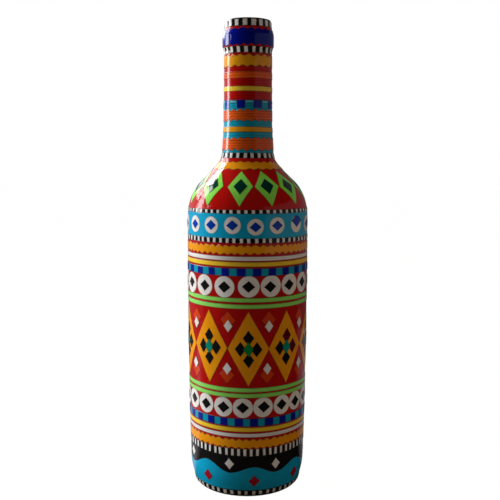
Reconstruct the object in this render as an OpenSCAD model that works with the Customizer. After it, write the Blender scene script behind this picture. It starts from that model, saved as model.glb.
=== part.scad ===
// Decorative glass bottle: a tapered wine-type bottle, dressed from lip to heel in cut vinyl tape.
// All sizes are in millimetres. The bottle stands on z = 0, its axis is Z, and its front faces -Y.
// Tape is laid in layers: grounds on the glass, strips and pieces on the grounds, smaller pieces on those.

/* [Glass outline] */
// Height of the corner where the body's side would meet the slope of the shoulder
body_h = 190; // [170:1:215]
// Height of the shoulder's slope, from that corner to the foot of the neck
shoulder_h = 22.7; // [21.5:0.1:25]
// Height of the neck, from its foot to the notch under the finish
neck_h = 68.2; // [67.6:0.1:84]
// Height of the finish, the thick band of glass round the mouth
finish_h = 19.5; // [19:0.1:20.4]
// Radius of the body at its widest
body_r = 38.6; // [38.2:0.1:40]
// How much the radius shrinks from the widest height down to the heel
body_taper = 1.65; // [1:0.05:2.2]
// Height of the straight side between the taper and that corner
straight_side_h = 40; // [40:1:46]
// Height where the side turns in to the heel
heel_top_z = 14; // [13:0.5:16]
// How far the heel's foot stands in from the bottom of the side
heel_inset = 3.4; // [2.8:0.1:4.2]
// Radius of the heel's rounded edge
heel_round = 5.5; // [5:0.1:6.2]
// Width of the flat ring that the bottle stands on
rest_ring_w = 2.8; // [2.2:0.1:3.4]
// Rounding of the ring's inner edge
ring_round = 1; // [0.6:0.1:1.4]
// Radius of the bend where the side turns in to the heel
heel_bend_r = 30; // [20:1:40]
// Radius of the shoulder's bend
shoulder_bend_r = 31; // [28:0.5:33]
// Radius of the neck at its foot
neck_foot_r = 16.6; // [16.2:0.1:17.2]
// Radius of the bend at the foot of the neck
neck_foot_bend_r = 14; // [12:0.5:16]
// Radius of the neck where its flare starts
neck_flare_r = 15.4; // [15.2:0.05:15.7]
// Height of the neck's flare above its foot
neck_flare_h = 22.3; // [20:0.1:24]
// Radius of the bend where the flare ends
flare_bend_r = 80; // [50:5:110]
// Radius of the neck under the finish
neck_top_r = 15; // [14.8:0.05:15.2]
// Radius of the bend there
neck_top_bend_r = 5; // [3:0.5:7]
// Height of the neck's top edge above the notch, which it curves in to
notch_bend_h = 2.3; // [2:0.1:2.8]
// Radius of the notch under the finish
notch_r = 14.75; // [14.6:0.05:14.9]
// Rounding of the notch
notch_round = 1.2; // [0.9:0.1:1.6]
// Radius of the finish at its lower edge
finish_low_r = 15.95; // [15.7:0.05:16.3]
// Height of the finish's lower edge above the notch
finish_low_h = 3.3; // [3:0.1:3.6]
// Rounding of the finish's lower edge
finish_low_round = 2; // [1.2:0.1:2.6]
// Radius of the finish where it starts to narrow to the lip
finish_mid_r = 16; // [15.8:0.05:16.3]
// Depth of that place below the top of the lip
finish_mid_drop = 9.4; // [8.8:0.1:10]
// Radius of the bends above and below the part that narrows
finish_bend_r = 6; // [4:0.5:8]
// Radius of the lip
lip_r = 14.5; // [14.2:0.05:14.8]
// Radius of the lip's rounded edge
lip_round = 1.4; // [1:0.1:1.8]
// Height of the lip's straight edge
lip_h = 4; // [3.6:0.1:4.4]

/* [Inside of the glass] */
// Wall of the body and shoulder
wall = 3; // [2.4:0.1:3.6]
// Thickness of the base
base_t = 5; // [4:0.1:6.5]
// Radius of the bore at the mouth
bore_r = 9.25; // [8.9:0.05:9.6]
// Length of the straight bore
bore_l = 45; // [40:0.5:50]
// Radius of the neck's inside at its foot
neck_in_r = 10.6; // [10.2:0.1:11.2]
// Height of the punt, the hollow under the base
punt_h = 22; // [14:0.5:28]
// Radius of the punt's round top
punt_top_r = 14; // [11:0.5:16]
// Radius of the bend round the punt's top
punt_bend_r = 12; // [8:0.5:14]
// Radius of the bore's edge at the mouth
mouth_round = 0.6; // [0.4:0.1:0.9]
// Radius of the bend from the inside wall to the floor
floor_round = 4; // [3:0.5:4.5]
// Radius of the bend from the floor up to the punt
floor_punt_round = 2.5; // [1.5:0.5:3]
// Radius of the bend where the bore starts to widen
bore_bend_r = 25; // [15:1:40]

/* [Tape] */
// Thickness of the tape
tape_t = 0.15; // [0.12:0.01:0.2]
// Film of glue under each layer
glue_t = 0.04; // [0.03:0.01:0.06]
// Gap where two pieces of one layer meet
butt_gap = 0.12; // [0.08:0.02:0.2]
// Gap between the two ends of a strip, at the back
seam_gap = 0.4; // [0.2:0.1:0.8]
// Height of the heel wrap's lower edge above the table
heel_wrap_z = 0.5; // [0.4:0.1:0.8]
// Width of the bare glass between the bore and the lip wrap's edge
lip_bare = 1.4; // [1:0.1:2]
// Share of a tooth by which a strip's lower notches run ahead of its upper ones
pinking_slip = 0.25; // [-0.5:0.05:0.5]
// How deep the pinking cuts into a wide strip's edge
pinking_depth = 1.3; // [1:0.05:1.5]
// How deep it cuts into the narrow strip on the shoulder
fine_pinking_depth = 1.1; // [0.9:0.05:1.2]

/* [Finish bands] */
// Height of the black wrap round the lip
lip_wrap_w = 5.3; // [4.8:0.1:5.5]
// Number of white checks round the lip
lip_checks_n = 18; // [16:1:21]
// Width of one
lip_check_w = 2.5; // [2:0.1:3.2]
// Height of one
lip_check_h = 3.8; // [3.3:0.1:3.9]
// Height of their feet above the wrap's lower edge
lip_check_lift = 0.3; // [0.2:0.05:0.4]
// Drop from the lip wrap's lower edge to the cobalt strip's points
cobalt_drop = 1.1; // [0.8:0.1:1.4]
// Width of the cobalt strip, point to point
cobalt_w = 10.5; // [9.8:0.1:10.8]
// Teeth along each edge of the cobalt strip
cobalt_teeth = 19; // [16:1:21]
// Depth of the finish's red ground below the lip wrap
finish_ground_w = 12.2; // [12:0.1:12.4]

/* [Neck bands] */
// Width of the collar wrap under the finish
collar_w = 3.9; // [3.5:0.1:4.2]
// Number of white checks round the collar
collar_checks_n = 20; // [18:1:22]
// Width of one
collar_check_w = 2; // [1.7:0.1:2.7]
// Drop from the collar wrap to the amber strip's points
neck_amber_drop = 0.9; // [0.6:0.1:1.2]
// Width of the neck's amber strip, point to point
neck_amber_w = 7.7; // [7.2:0.1:8]
// Teeth along each edge of the neck's amber strip
neck_amber_teeth = 18; // [16:1:20]
// Drop from the amber strip to the orange stripe
neck_orange_drop = 2.9; // [2.4:0.1:3.2]
// Width of the orange stripe
neck_orange_w = 4.1; // [3.6:0.1:4.4]
// Drop from the orange stripe to the yellow stripe
neck_yellow_drop = 4.9; // [4.2:0.1:5.2]
// Width of the yellow stripe
neck_yellow_w = 2.9; // [2.5:0.1:3.2]
// Height of the teal ground above the neck-foot wrap
teal_ground_w = 32.9; // [32.6:0.1:33.6]
// Width of the cobalt checks at the top of the teal ground
neck_check_h = 4.9; // [4.4:0.1:5]
// Number of them
neck_checks_n = 9; // [8:1:10]
// Length of one round the neck
neck_check_w = 5.1; // [4.4:0.1:5.4]
// Drop from the cobalt checks to the upper orange strip's points
orange_upper_drop = 1; // [0.6:0.1:1.2]
// Width of the upper orange strip, point to point
orange_upper_w = 7.1; // [6.6:0.1:7.3]
// Drop from the upper orange strip to the amber stripe
amber_stripe_drop = 3.8; // [3.4:0.1:4]
// Width of the amber stripe
amber_stripe_w = 3; // [2.6:0.1:3.2]
// Drop from the amber stripe to the lower orange strip's points
orange_lower_drop = 3.5; // [3:0.1:3.7]
// Width of the lower orange strip, point to point
orange_lower_w = 8.1; // [7.6:0.1:8.3]
// Teeth along each edge of both orange strips
orange_teeth = 20; // [18:1:22]

/* [Shoulder bands] */
// Height of the top of the neck-foot wrap above the foot of the neck
foot_wrap_rise = 4.5; // [4.2:0.1:4.9]
// Width of the neck-foot wrap
foot_wrap_w = 3.3; // [3:0.1:3.6]
// Number of white checks round it
foot_checks_n = 23; // [20:1:25]
// Width of one
foot_check_w = 1.9; // [1.6:0.1:2.4]
// Drop from the neck-foot wrap to the amber strip's points
shoulder_amber_drop = 2; // [1.7:0.1:2.2]
// Height of the shoulder's amber strip, point to point
shoulder_amber_w = 5.2; // [4.8:0.1:5.4]
// Teeth along each edge of it
shoulder_amber_teeth = 23; // [20:1:25]
// Space between the green diamonds' tops and the amber strip
diamond_space_up = 0.9; // [0.5:0.1:1.8]
// Space between their feet and the shoulder wrap
diamond_space_down = 2.1; // [1:0.1:3]
// Number of green diamonds
diamonds_n = 12; // [10:1:12]
// Width of a green diamond
diamond_w = 15.5; // [14:0.5:16]
// Width of the dark diamond on it
dark_w = 8.4; // [7:0.2:9]
// Drop from the green diamond's top to the dark one's
dark_drop = 4.7; // [4:0.1:5.6]
// Rise from the green diamond's foot to the dark one's
dark_rise = 7.2; // [6:0.1:8]
// Lean of both, in degrees
diamond_lean = 3; // [0:0.5:6]
// Drop from the body's corner to the shoulder wrap
shoulder_wrap_drop = 7.2; // [6.9:0.1:7.5]
// Width of the shoulder wrap
shoulder_wrap_w = 2.3; // [2:0.1:2.6]
// Number of white checks round it
shoulder_checks_n = 54; // [48:1:58]
// Width of one
shoulder_check_w = 1.7; // [1.4:0.1:2.2]

/* [Blue disc band] */
// Width of the blue band
blue_band_w = 14.9; // [14.2:0.1:15.2]
// Number of discs on it
blue_discs_n = 16; // [14:1:18]
// Diameter of one
blue_disc_d = 10.3; // [9.6:0.1:11]
// Width of the cobalt diamond on a disc
blue_diamond_w = 7.1; // [6:0.1:7.6]
// Height of the cobalt diamond
blue_diamond_l = 6; // [5:0.1:6.6]
// Width of the waist wrap below the blue band
waist_wrap_w = 2.9; // [2.5:0.1:3.2]
// Number of white checks round it
waist_checks_n = 54; // [48:1:58]
// Width of one
waist_check_w = 1.7; // [1.4:0.1:2.2]

/* [Body bands] */
// Drop from the waist wrap to the upper amber strip's points
upper_amber_drop = 1.1; // [0.7:0.1:1.3]
// Width of the upper amber strip, point to point
upper_amber_w = 6; // [5.6:0.1:6.3]
// Teeth along each edge of the upper amber strip
upper_amber_teeth = 52; // [48:1:54]
// Gap between neighbouring stripes and strips
stripe_space = 1.15; // [0.85:0.05:1.4]
// Width of the white stripes
white_stripe_w = 2.3; // [2:0.1:2.6]
// Width of the yellow stripes
yellow_stripe_w = 2.6; // [2.3:0.1:2.9]
// Width of the teal rings
teal_ring_w = 4.6; // [4.2:0.1:4.8]
// Number of cobalt checks on a teal ring
ring_checks_n = 25; // [22:1:27]
// Width of one
ring_check_w = 4.9; // [4:0.1:5.2]
// Space round the upper discs, above and below
upper_disc_space = 0.3; // [0.1:0.1:0.5]
// Number of upper discs
upper_discs_n = 17; // [15:1:17]
// Diameter of one
upper_disc_d = 13.1; // [12.4:0.1:13.4]
// Space round the lower discs, above and below
lower_disc_space = 0.55; // [0.2:0.05:0.7]
// Number of lower discs
lower_discs_n = 19; // [17:1:19]
// Diameter of one
lower_disc_d = 12.3; // [11.6:0.1:12.4]
// Width of the black diamonds on the discs
disc_diamond_w = 7.8; // [7:0.1:8.4]
// Height of the black diamonds on the discs
disc_diamond_l = 7; // [6.2:0.1:7.6]
// Width of a green stripe
green_stripe_w = 2.5; // [2.2:0.1:2.8]
// Gap between the two green stripes of a pair
green_space = 1.3; // [1:0.1:1.6]
// Gap between the green stripes and the points of the lozenges
lozenge_space = 2.6; // [2:0.1:3]
// Gap below the lozenges' lower points
lozenge_foot_space = 0.95; // [0.4:0.05:1.4]
// Drop from the lower white stripe to the lower amber strip's points
lower_amber_drop = 0.9; // [0.6:0.1:1.1]
// Width of the lower amber strip, point to point
lower_amber_w = 6.7; // [6.3:0.1:6.9]
// Teeth along each edge of the lower amber strip
lower_amber_teeth = 53; // [48:1:54]

/* [Lozenges] */
// Number of amber lozenges, which touch side by side
lozenges_n = 9; // [8:1:9]
// Width of a cross's black diamond
cross_w = 6.6; // [6:0.1:7]
// Height of a cross's black diamond, as a share of the lozenge's
cross_share = 0.2; // [0.18:0.005:0.21]
// Distance of the upper and lower black diamonds from the middle, as a share of the lozenge's height
cross_rise_share = 0.15; // [0.14:0.005:0.16]
// Distance of the side ones from the middle
cross_reach = 5; // [4.6:0.1:5.4]
// Width of the green diamond in the middle
centre_w = 6; // [5.2:0.1:6.6]
// Height of the green diamond in the middle, as a share of the lozenge's
centre_share = 0.198; // [0.18:0.002:0.21]
// Width of an orange diamond in the gaps
gap_orange_w = 9.4; // [8.6:0.1:9.8]
// Height of an orange diamond, as a share of the panel between the green stripes
gap_orange_share = 0.224; // [0.2:0.002:0.23]
// Space between the upper orange diamonds and the green stripe above, as a share of the panel
gap_up_share = 0.038; // [0.02:0.002:0.05]
// Space between the lower orange diamonds and the green stripe below, as a share of the panel
gap_down_share = 0.05; // [0.03:0.002:0.064]
// Width of a white diamond in the gaps
gap_white_w = 5.4; // [5:0.1:6]
// Height of a white diamond, as a share of the orange one's
gap_white_share = 0.714; // [0.65:0.002:0.74]
// Distance between the middles of a white diamond and its orange one, as a share of the orange one's height
gap_shift_share = 0.393; // [0.35:0.001:0.45]

/* [Base bands] */
// Height of the top of the black base band
base_top_z = 33.45; // [33:0.05:34]
// Height of the white bars at the top of the black band
bar_h = 4.2; // [3.8:0.1:4.6]
// Number of white bars
bars_n = 59; // [52:1:64]
// Width of a bar
bar_w = 1.6; // [1.3:0.1:2.1]
// Height of the middle of the wave between black and blue
wave_z = 19.6; // [19:0.1:20]
// Height of its crests above the middle
wave_rise = 2.4; // [2:0.1:2.8]
// Number of waves
waves_n = 7; // [6:1:8]
// How far the waves are bunched towards the front, in degrees
wave_bunch = 23; // [0:1:30]
// Height of the white diamonds' middles above the wave's middle
base_white_rise = 3.3; // [3:0.1:3.8]
// Width of a white diamond
base_white_w = 6; // [5:0.1:6.4]
// Height of a white diamond
base_white_l = 7.1; // [6.4:0.1:7.4]
// Depth of the red diamonds' middles below the wave's middle
base_red_drop = 7.4; // [7.2:0.1:7.7]
// Width of a red diamond
base_red_w = 7.3; // [6.6:0.1:8]
// Length of a red diamond
base_red_l = 7.6; // [7:0.1:8]
// Height of the top of the heel wrap
heel_wrap_top_z = 5.7; // [5.4:0.1:6]
// Number of white checks round the heel
heel_checks_n = 47; // [42:1:52]
// Width of one
heel_check_w = 1.9; // [1.5:0.1:2.4]
// Height of one
heel_check_h = 2.6; // [2.2:0.1:2.9]
// Drop from the wrap's upper edge to the checks
heel_check_drop = 0.5; // [0.3:0.1:0.8]

/* [Turn of each pattern, in degrees from the front] */
// White checks of the lip
lip_turn = 13.2; // [0:0.1:18]
// A notch of the cobalt strip
cobalt_turn = -3.9; // [-9:0.1:9]
// A notch of the neck's amber strip
neck_amber_turn = -7.6; // [-10:0.1:10]
// A notch of the upper orange strip
orange_upper_turn = 8.6; // [-9:0.1:9]
// A notch of the lower orange strip
orange_lower_turn = -8; // [-9:0.1:9]
// A notch of the shoulder's amber strip
shoulder_amber_turn = -6.9; // [-8:0.1:8]
// A notch of the upper amber strip
upper_amber_turn = 4.3; // [0:0.1:6]
// A notch of the lower amber strip
lower_amber_turn = 2.6; // [0:0.1:6]
// White checks of the collar
collar_turn = 14.1; // [0:0.1:18]
// Cobalt checks of the neck
neck_checks_turn = -15.2; // [-20:0.1:20]
// White checks of the neck's foot
foot_turn = 9; // [0:0.1:15]
// Green diamonds
diamond_turn = -7.7; // [-15:0.1:15]
// White checks of the shoulder
shoulder_turn = 5.6; // [0:0.1:6]
// Discs of the blue band
blue_disc_turn = 8; // [-11:0.1:11]
// White checks of the waist
waist_turn = 1.5; // [0:0.1:6]
// Cobalt checks of the upper ring
upper_ring_turn = 8.6; // [0:0.1:14]
// Upper discs
upper_disc_turn = 1; // [-10:0.1:10]
// Lozenges
lozenge_turn = 1.4; // [-20:0.1:20]
// Lower discs
lower_disc_turn = -3.8; // [-9:0.1:9]
// Cobalt checks of the lower ring
lower_ring_turn = 6.8; // [0:0.1:14]
// White bars
bar_turn = 4.4; // [0:0.1:6]
// Crest of the wave
wave_turn = 7; // [-25:0.1:25]
// White checks of the heel
heel_turn = 7; // [0:0.1:7.6]

/* [Hidden] */
$fn = 180;

// Directions and small steps
front = -90;
back = 90;
arc_step = 4;
probe = 0.05;
least_step = 0.15;
body_steps = 12;
cut_reach = 5;
tooth_share = 0.47;
edge_room = 1.5;
sector_room = 8;
lip_lean = 0.1;
punt_spread = 0.4;
wave_steps = 12;
wave_lap = 2;
wave_clear = 20;

// Colours of the glass and of the tapes
glass_green = [0.32, 0.42, 0.3, 0.5];
red = [0.72, 0.07, 0.06];
black = [0.02, 0.02, 0.02];
white = [0.93, 0.93, 0.9];
cobalt = [0.05, 0.1, 0.62];
teal = [0.08, 0.52, 0.6];
sky = [0.08, 0.58, 0.78];
amber = [0.92, 0.6, 0.1];
yellow = [0.95, 0.8, 0.25];
orange = [0.9, 0.38, 0.12];
green = [0.4, 0.82, 0.3];
dark_green = [0.02, 0.2, 0.14];
leaf = [0.03, 0.5, 0.35];
crimson = [0.6, 0.06, 0.14];

// Heights of the glass
foot_z = body_h + shoulder_h;
notch_z = foot_z + neck_h;
glass_h = notch_z + finish_h;
taper_top_z = body_h - straight_side_h;
heel_side_r = body_r - body_taper;
heel_foot_r = heel_side_r - heel_inset;
slope_angle = atan2(body_r - neck_foot_r, shoulder_h);
heel_angle = atan2(heel_inset, heel_top_z);
heel_bend_z = heel_top_z + heel_bend_r * tan(heel_angle / 2) + 2 * edge_room;
rest_ring_r = heel_foot_r - heel_round * tan(45 - heel_angle / 2);
ring_in_r = rest_ring_r - rest_ring_w;
lip_top_r = lip_r - lip_lean;

function unit(v) = v / norm(v);

// A corner of an outline rounded to radius R, as points along its arc
function rounded_corner(a, p, b, R) =
    let (
        u = unit([a.x - p.x, a.y - p.y]),
        v = unit([b.x - p.x, b.y - p.y]),
        half = acos(u * v) / 2,
        centre = [p.x, p.y] + unit(u + v) * R / sin(half),
        start = [p.x, p.y] + u * R / tan(half) - centre,
        finish = [p.x, p.y] + v * R / tan(half) - centre,
        first = atan2(start.y, start.x),
        turn = (atan2(finish.y, finish.x) - first + 540) % 360 - 180,
        n = max(2, ceil(abs(turn) / arc_step))
    )
    [for (i = [0:n]) centre + R * [cos(first + turn * i / n), sin(first + turn * i / n)]];

// An outline from corners written as [radius, height, rounding]
function rounded(corners) = [
    for (i = [0:len(corners) - 1])
        each (i == 0 || i == len(corners) - 1 || corners[i][2] == 0)
            ? [[corners[i].x, corners[i].y]]
            : rounded_corner(corners[i - 1], corners[i], corners[i + 1], corners[i][2])
];

// The side of the body: straight at the top, easing in towards the heel
function side_r(z) = body_r - body_taper * pow(max(0, (taper_top_z - z) / (taper_top_z - heel_top_z)), 2);
function side_z(i) = heel_bend_z + (taper_top_z - heel_bend_z) * i / body_steps;

// The outline of the glass from the rest ring up to the lip
rest_corners = [
    [ring_in_r, 0, 0],
    [heel_foot_r, 0, heel_round],
    [heel_side_r, heel_top_z, heel_bend_r],
    [side_r(heel_bend_z), heel_bend_z, 0]
];
upper_corners = [
    [body_r, taper_top_z, 0],
    [body_r, body_h, shoulder_bend_r],
    [neck_foot_r, foot_z, neck_foot_bend_r],
    [neck_flare_r, foot_z + neck_flare_h, flare_bend_r],
    [neck_top_r, notch_z - notch_bend_h, neck_top_bend_r],
    [notch_r, notch_z, notch_round],
    [finish_low_r, notch_z + finish_low_h, finish_low_round],
    [finish_mid_r, glass_h - finish_mid_drop, finish_bend_r],
    [lip_r, glass_h - lip_h, finish_bend_r],
    [lip_top_r, glass_h, lip_round],
    [bore_r + lip_bare, glass_h, 0]
];
side_points = [for (i = [1:body_steps - 1]) [side_r(side_z(i)), side_z(i)]];
skin = concat(rounded(rest_corners), side_points, rounded(upper_corners));

// Radius and outward direction of the glass at a height
skin_table = [for (i = [1:len(skin) - 2]) [skin[i].y, skin[i].x]];
function skin_r(z) = lookup(z, skin_table);
function skin_out(z) = unit([2 * probe, skin_r(z - probe) - skin_r(z + probe)]);

// Undersides of the tape layers, counted from the glass
function under(layer) = layer * glue_t + (layer - 1) * tape_t;

// Cross-section of a tape that covers the glass from height z1 up to z2
function stations(z1, z2) = concat(
    [z1],
    [for (p = skin) if (p.y > z1 + least_step && p.y < z2 - least_step) p.y],
    [z2]
);
function parallel(zs, d) = [for (z = zs) [skin_r(z), z] + d * skin_out(z)];
function rest_of(list) = [for (i = [1:len(list) - 1]) list[i]];
function reversed(list) = [for (i = [len(list) - 1:-1:0]) list[i]];
function strip_section(z1, z2, layer) =
    let (zs = stations(z1, z2))
    concat(parallel(zs, under(layer) + tape_t), reversed(parallel(zs, under(layer))));

function turn_for(w, r) = w / (PI * r) * 180;

// A tape wrapped once round the bottle, its ends nearly meeting at the seam
module wrap(z1, z2, layer = 1, seam = back) {
    gap = turn_for(seam_gap, skin_r((z1 + z2) / 2));
    rotate(seam + gap / 2) rotate_extrude(angle = 360 - gap) polygon(strip_section(z1, z2, layer));
}

// A ground butts against its neighbours
module ground(z1, z2) wrap(z1 + butt_gap / 2, z2 - butt_gap / 2);

// Separate short pieces of tape in a ring, w wide
module checks(z1, z2, layer, n, w, turn) {
    arc = turn_for(w, skin_r((z1 + z2) / 2));
    for (k = [0:n - 1])
        rotate(front + turn + k * 360 / n - arc / 2)
            rotate_extrude(angle = arc) polygon(strip_section(z1, z2, layer));
}

// A flat shape laid on the glass between heights z1 and z2, as a prism through the tape there
module laid(z1, z2, lean = 0) {
    low = [skin_r(z1), z1];
    high = [skin_r(z2), z2];
    mid = (low + high) / 2;
    translate([mid.x, 0, mid.y]) rotate([0, -atan2(low.x - high.x, z2 - z1), 0]) rotate([90, 0, 90])
        rotate(lean) translate([0, 0, -cut_reach]) linear_extrude(2 * cut_reach) children();
}
function laid_length(z1, z2) = norm([skin_r(z1) - skin_r(z2), z2 - z1]);

// The part of one tape layer that lies under a flat shape w wide
module cut_piece(z1, z2, w, layer, lean = 0) {
    arc = turn_for(w, skin_r(z2)) + sector_room;
    intersection() {
        rotate(-arc / 2) rotate_extrude(angle = arc)
            polygon(strip_section(z1 - edge_room, z2 + edge_room, layer));
        laid(z1, z2, lean) children();
    }
}

// A diamond with its points at heights z1 and z2
module diamond_between(z1, z2, w, layer, lean = 0) {
    l = laid_length(z1, z2);
    cut_piece(z1, z2, w, layer, lean) polygon([[-w / 2, 0], [0, -l / 2], [w / 2, 0], [0, l / 2]]);
}
module diamond(z, w, l, layer) diamond_between(z - l / 2, z + l / 2, w, layer);

module around(n, turn) for (k = [0:n - 1]) rotate(front + turn + k * 360 / n) children();

module discs(z, d, layer, n, turn)
    around(n, turn) cut_piece(z - d / 2, z + d / 2, d, layer) circle(d = d);

// One notch of a pinked edge: up = 1 on an upper edge, -1 on a lower one
module notch(z, up, pitch, depth) {
    wide = pitch * tooth_share * (depth + edge_room) / depth;
    laid(z - edge_room, z + edge_room)
        polygon([[-wide, up * edge_room], [0, -up * depth], [wide, up * edge_room]]);
}

// A tape with both edges cut by pinking shears
module pinked_wrap(z1, z2, layer, teeth, depth, turn) {
    pitch = 360 / teeth;
    difference() {
        wrap(z1, z2, layer, front + turn + (floor(teeth / 2) + 0.5) * pitch);
        around(teeth, turn) notch(z2, 1, 2 * PI * skin_r(z2) / teeth, depth);
        around(teeth, turn + pinking_slip * pitch)
            notch(z1, -1, 2 * PI * skin_r(z1) / teeth, depth);
    }
}

// Finish
lip_wrap_z = glass_h - lip_wrap_w;
lip_check_z = lip_wrap_z + lip_check_lift;
cobalt_top = lip_wrap_z - cobalt_drop;
finish_ground_z = lip_wrap_z - finish_ground_w;

// Neck, down from the finish and up from the foot
collar_z = finish_ground_z - collar_w;
neck_amber_top = collar_z - neck_amber_drop;
neck_orange_top = neck_amber_top - neck_amber_w - neck_orange_drop;
neck_yellow_top = neck_orange_top - neck_orange_w - neck_yellow_drop;
foot_wrap_top = foot_z + foot_wrap_rise;
foot_wrap_z = foot_wrap_top - foot_wrap_w;
teal_top = foot_wrap_top + teal_ground_w;
orange_upper_top = teal_top - neck_check_h - orange_upper_drop;
amber_stripe_top = orange_upper_top - orange_upper_w - amber_stripe_drop;
orange_lower_top = amber_stripe_top - amber_stripe_w - orange_lower_drop;

// Shoulder and blue band
shoulder_amber_top = foot_wrap_z - shoulder_amber_drop;
shoulder_wrap_top = body_h - shoulder_wrap_drop;
shoulder_wrap_z = shoulder_wrap_top - shoulder_wrap_w;
diamond_top = shoulder_amber_top - shoulder_amber_w - diamond_space_up;
diamond_foot = shoulder_wrap_top + diamond_space_down;
blue_band_z = shoulder_wrap_z - blue_band_w;
blue_disc_z = (shoulder_wrap_z + blue_band_z) / 2;
waist_wrap_z = blue_band_z - waist_wrap_w;

// Body, down from the waist
upper_amber_top = waist_wrap_z - upper_amber_drop;
upper_white_top = upper_amber_top - upper_amber_w - stripe_space;
upper_yellow_top = upper_white_top - white_stripe_w - stripe_space;
upper_ring_top = upper_yellow_top - yellow_stripe_w - stripe_space;
upper_ring_z = upper_ring_top - teal_ring_w;
upper_disc_z = upper_ring_z - upper_disc_space - upper_disc_d / 2;
upper_green_top = upper_disc_z - upper_disc_d / 2 - upper_disc_space;
upper_green_z = upper_green_top - 2 * green_stripe_w - green_space;

// Body, up from the base band
lower_amber_z = base_top_z + butt_gap;
lower_amber_top = lower_amber_z + lower_amber_w;
lower_white_z = lower_amber_top + lower_amber_drop;
lower_yellow_z = lower_white_z + white_stripe_w + stripe_space;
lower_ring_z = lower_yellow_z + yellow_stripe_w + stripe_space;
lower_ring_top = lower_ring_z + teal_ring_w;
lower_disc_z = lower_ring_top + lower_disc_space + lower_disc_d / 2;
lower_green_z = lower_disc_z + lower_disc_d / 2 + lower_disc_space;
lower_green_top = lower_green_z + 2 * green_stripe_w + green_space;

// Lozenges fill what is left between the green stripes
lozenge_top = upper_green_z - lozenge_space;
lozenge_foot = lower_green_top + lozenge_foot_space;
lozenge_l = lozenge_top - lozenge_foot;
lozenge_z = (lozenge_top + lozenge_foot) / 2;
lozenge_w = 2 * skin_r(lozenge_z) * sin(180 / lozenges_n) - butt_gap;
cross_l = lozenge_l * cross_share;
cross_rise = lozenge_l * cross_rise_share;
centre_l = lozenge_l * centre_share;

// So do the diamonds in the gaps between them
panel_l = upper_green_z - lower_green_top;
gap_turn = lozenge_turn + 180 / lozenges_n;
gap_orange_l = panel_l * gap_orange_share;
gap_white_l = gap_orange_l * gap_white_share;
gap_white_shift = gap_orange_l * gap_shift_share;
gap_up_z = upper_green_z - panel_l * gap_up_share - gap_orange_l / 2;
gap_down_z = lower_green_top + panel_l * gap_down_share + gap_orange_l / 2;

// The wave at an angle from the front, in degrees
function wave_at(a) =
    wave_z + wave_rise * cos(waves_n * (a - wave_turn) + wave_bunch * sin(a - wave_turn));
// Angle of the wave's k-th crest, or of a trough at k + 0.5
function crest_at(k, a = 0, passes = 6) =
    passes == 0 ? wave_turn + a
        : crest_at(k, (360 * k - wave_bunch * sin(a)) / waves_n, passes - 1);

// Cuts everything that lies beyond the wave: side = -1 below it, 1 above it
module beyond_wave(side) {
    sector = 360 / waves_n;
    half = sector / 2 + wave_lap;
    r = skin_r(wave_z);
    edge = -side * butt_gap / 2;
    for (k = [0:waves_n - 1])
        rotate(front + k * sector) translate([r * cos(half) - edge_room, 0, 0]) rotate([90, 0, 90])
            linear_extrude(r * (1 - cos(half)) + 2 * edge_room)
                polygon(concat(
                    [for (i = [-wave_steps:wave_steps])
                        let (a = half * i / wave_steps) [r * sin(a), wave_at(k * sector + a) + edge]],
                    [[r * sin(half), wave_z + side * wave_clear],
                        [-r * sin(half), wave_z + side * wave_clear]]
                ));
}

module glass_bottle() {
    in_shoulder_z = body_h - wall * tan(slope_angle / 2);
    in_foot_z = in_shoulder_z + (body_r - wall - neck_in_r) / tan(slope_angle);
    inside = rest_of(rounded([
        [bore_r + lip_bare, glass_h, 0],
        [bore_r, glass_h, mouth_round],
        [bore_r, glass_h - bore_l, bore_bend_r],
        [neck_in_r, in_foot_z, neck_foot_bend_r],
        [body_r - wall, in_shoulder_z, shoulder_bend_r - wall],
        [body_r - wall, taper_top_z, 0]
    ]));
    side = [for (i = [body_steps - 1:-1:1]) [side_r(side_z(i)) - wall, side_z(i)]];
    floor = rounded([
        [side_r(heel_bend_z) - wall, heel_bend_z, 0],
        [heel_side_r - wall, base_t, floor_round],
        [ring_in_r + base_t * punt_spread / 2, base_t, floor_punt_round],
        [punt_top_r + base_t * punt_spread, punt_h + base_t, punt_bend_r],
        [0, punt_h + base_t, 0]
    ]);
    punt = rounded([
        [0, punt_h, 0],
        [punt_top_r, punt_h, punt_bend_r],
        [ring_in_r, 0, ring_round],
        [rest_ring_r, 0, 0]
    ]);
    color(glass_green) rotate_extrude()
        polygon(concat(punt, rest_of(rest_of(skin)), inside, side, floor));
}

module rim_wrap_black() {
    function over(d) = concat(
        parallel(stations(lip_wrap_z, glass_h - lip_h), d),
        rounded_corner([lip_r + d, glass_h - lip_h], [lip_top_r + d, glass_h + d],
            [bore_r + lip_bare, glass_h + d], lip_round + d),
        [[bore_r + lip_bare, glass_h + d]]
    );
    gap = turn_for(seam_gap, lip_r);
    color(black) rotate(back + gap / 2) rotate_extrude(angle = 360 - gap)
        polygon(concat(over(under(1) + tape_t), reversed(over(under(1)))));
}

module rim_checks_white()
    color(white) checks(lip_check_z, lip_check_z + lip_check_h, 2, lip_checks_n, lip_check_w, lip_turn);

module finish_ground_red() color(red) ground(finish_ground_z, lip_wrap_z);

module finish_strip_cobalt()
    color(cobalt) pinked_wrap(cobalt_top - cobalt_w, cobalt_top, 2,
        cobalt_teeth, pinking_depth, cobalt_turn);

module collar_wrap_black() color(black) ground(collar_z, finish_ground_z);

module collar_checks_white()
    color(white) checks(collar_z + butt_gap, finish_ground_z - butt_gap, 2,
        collar_checks_n, collar_check_w, collar_turn);

module neck_ground_red() color(red) ground(teal_top, collar_z);

module neck_strip_amber()
    color(amber) pinked_wrap(neck_amber_top - neck_amber_w, neck_amber_top, 2,
        neck_amber_teeth, pinking_depth, neck_amber_turn);

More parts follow.
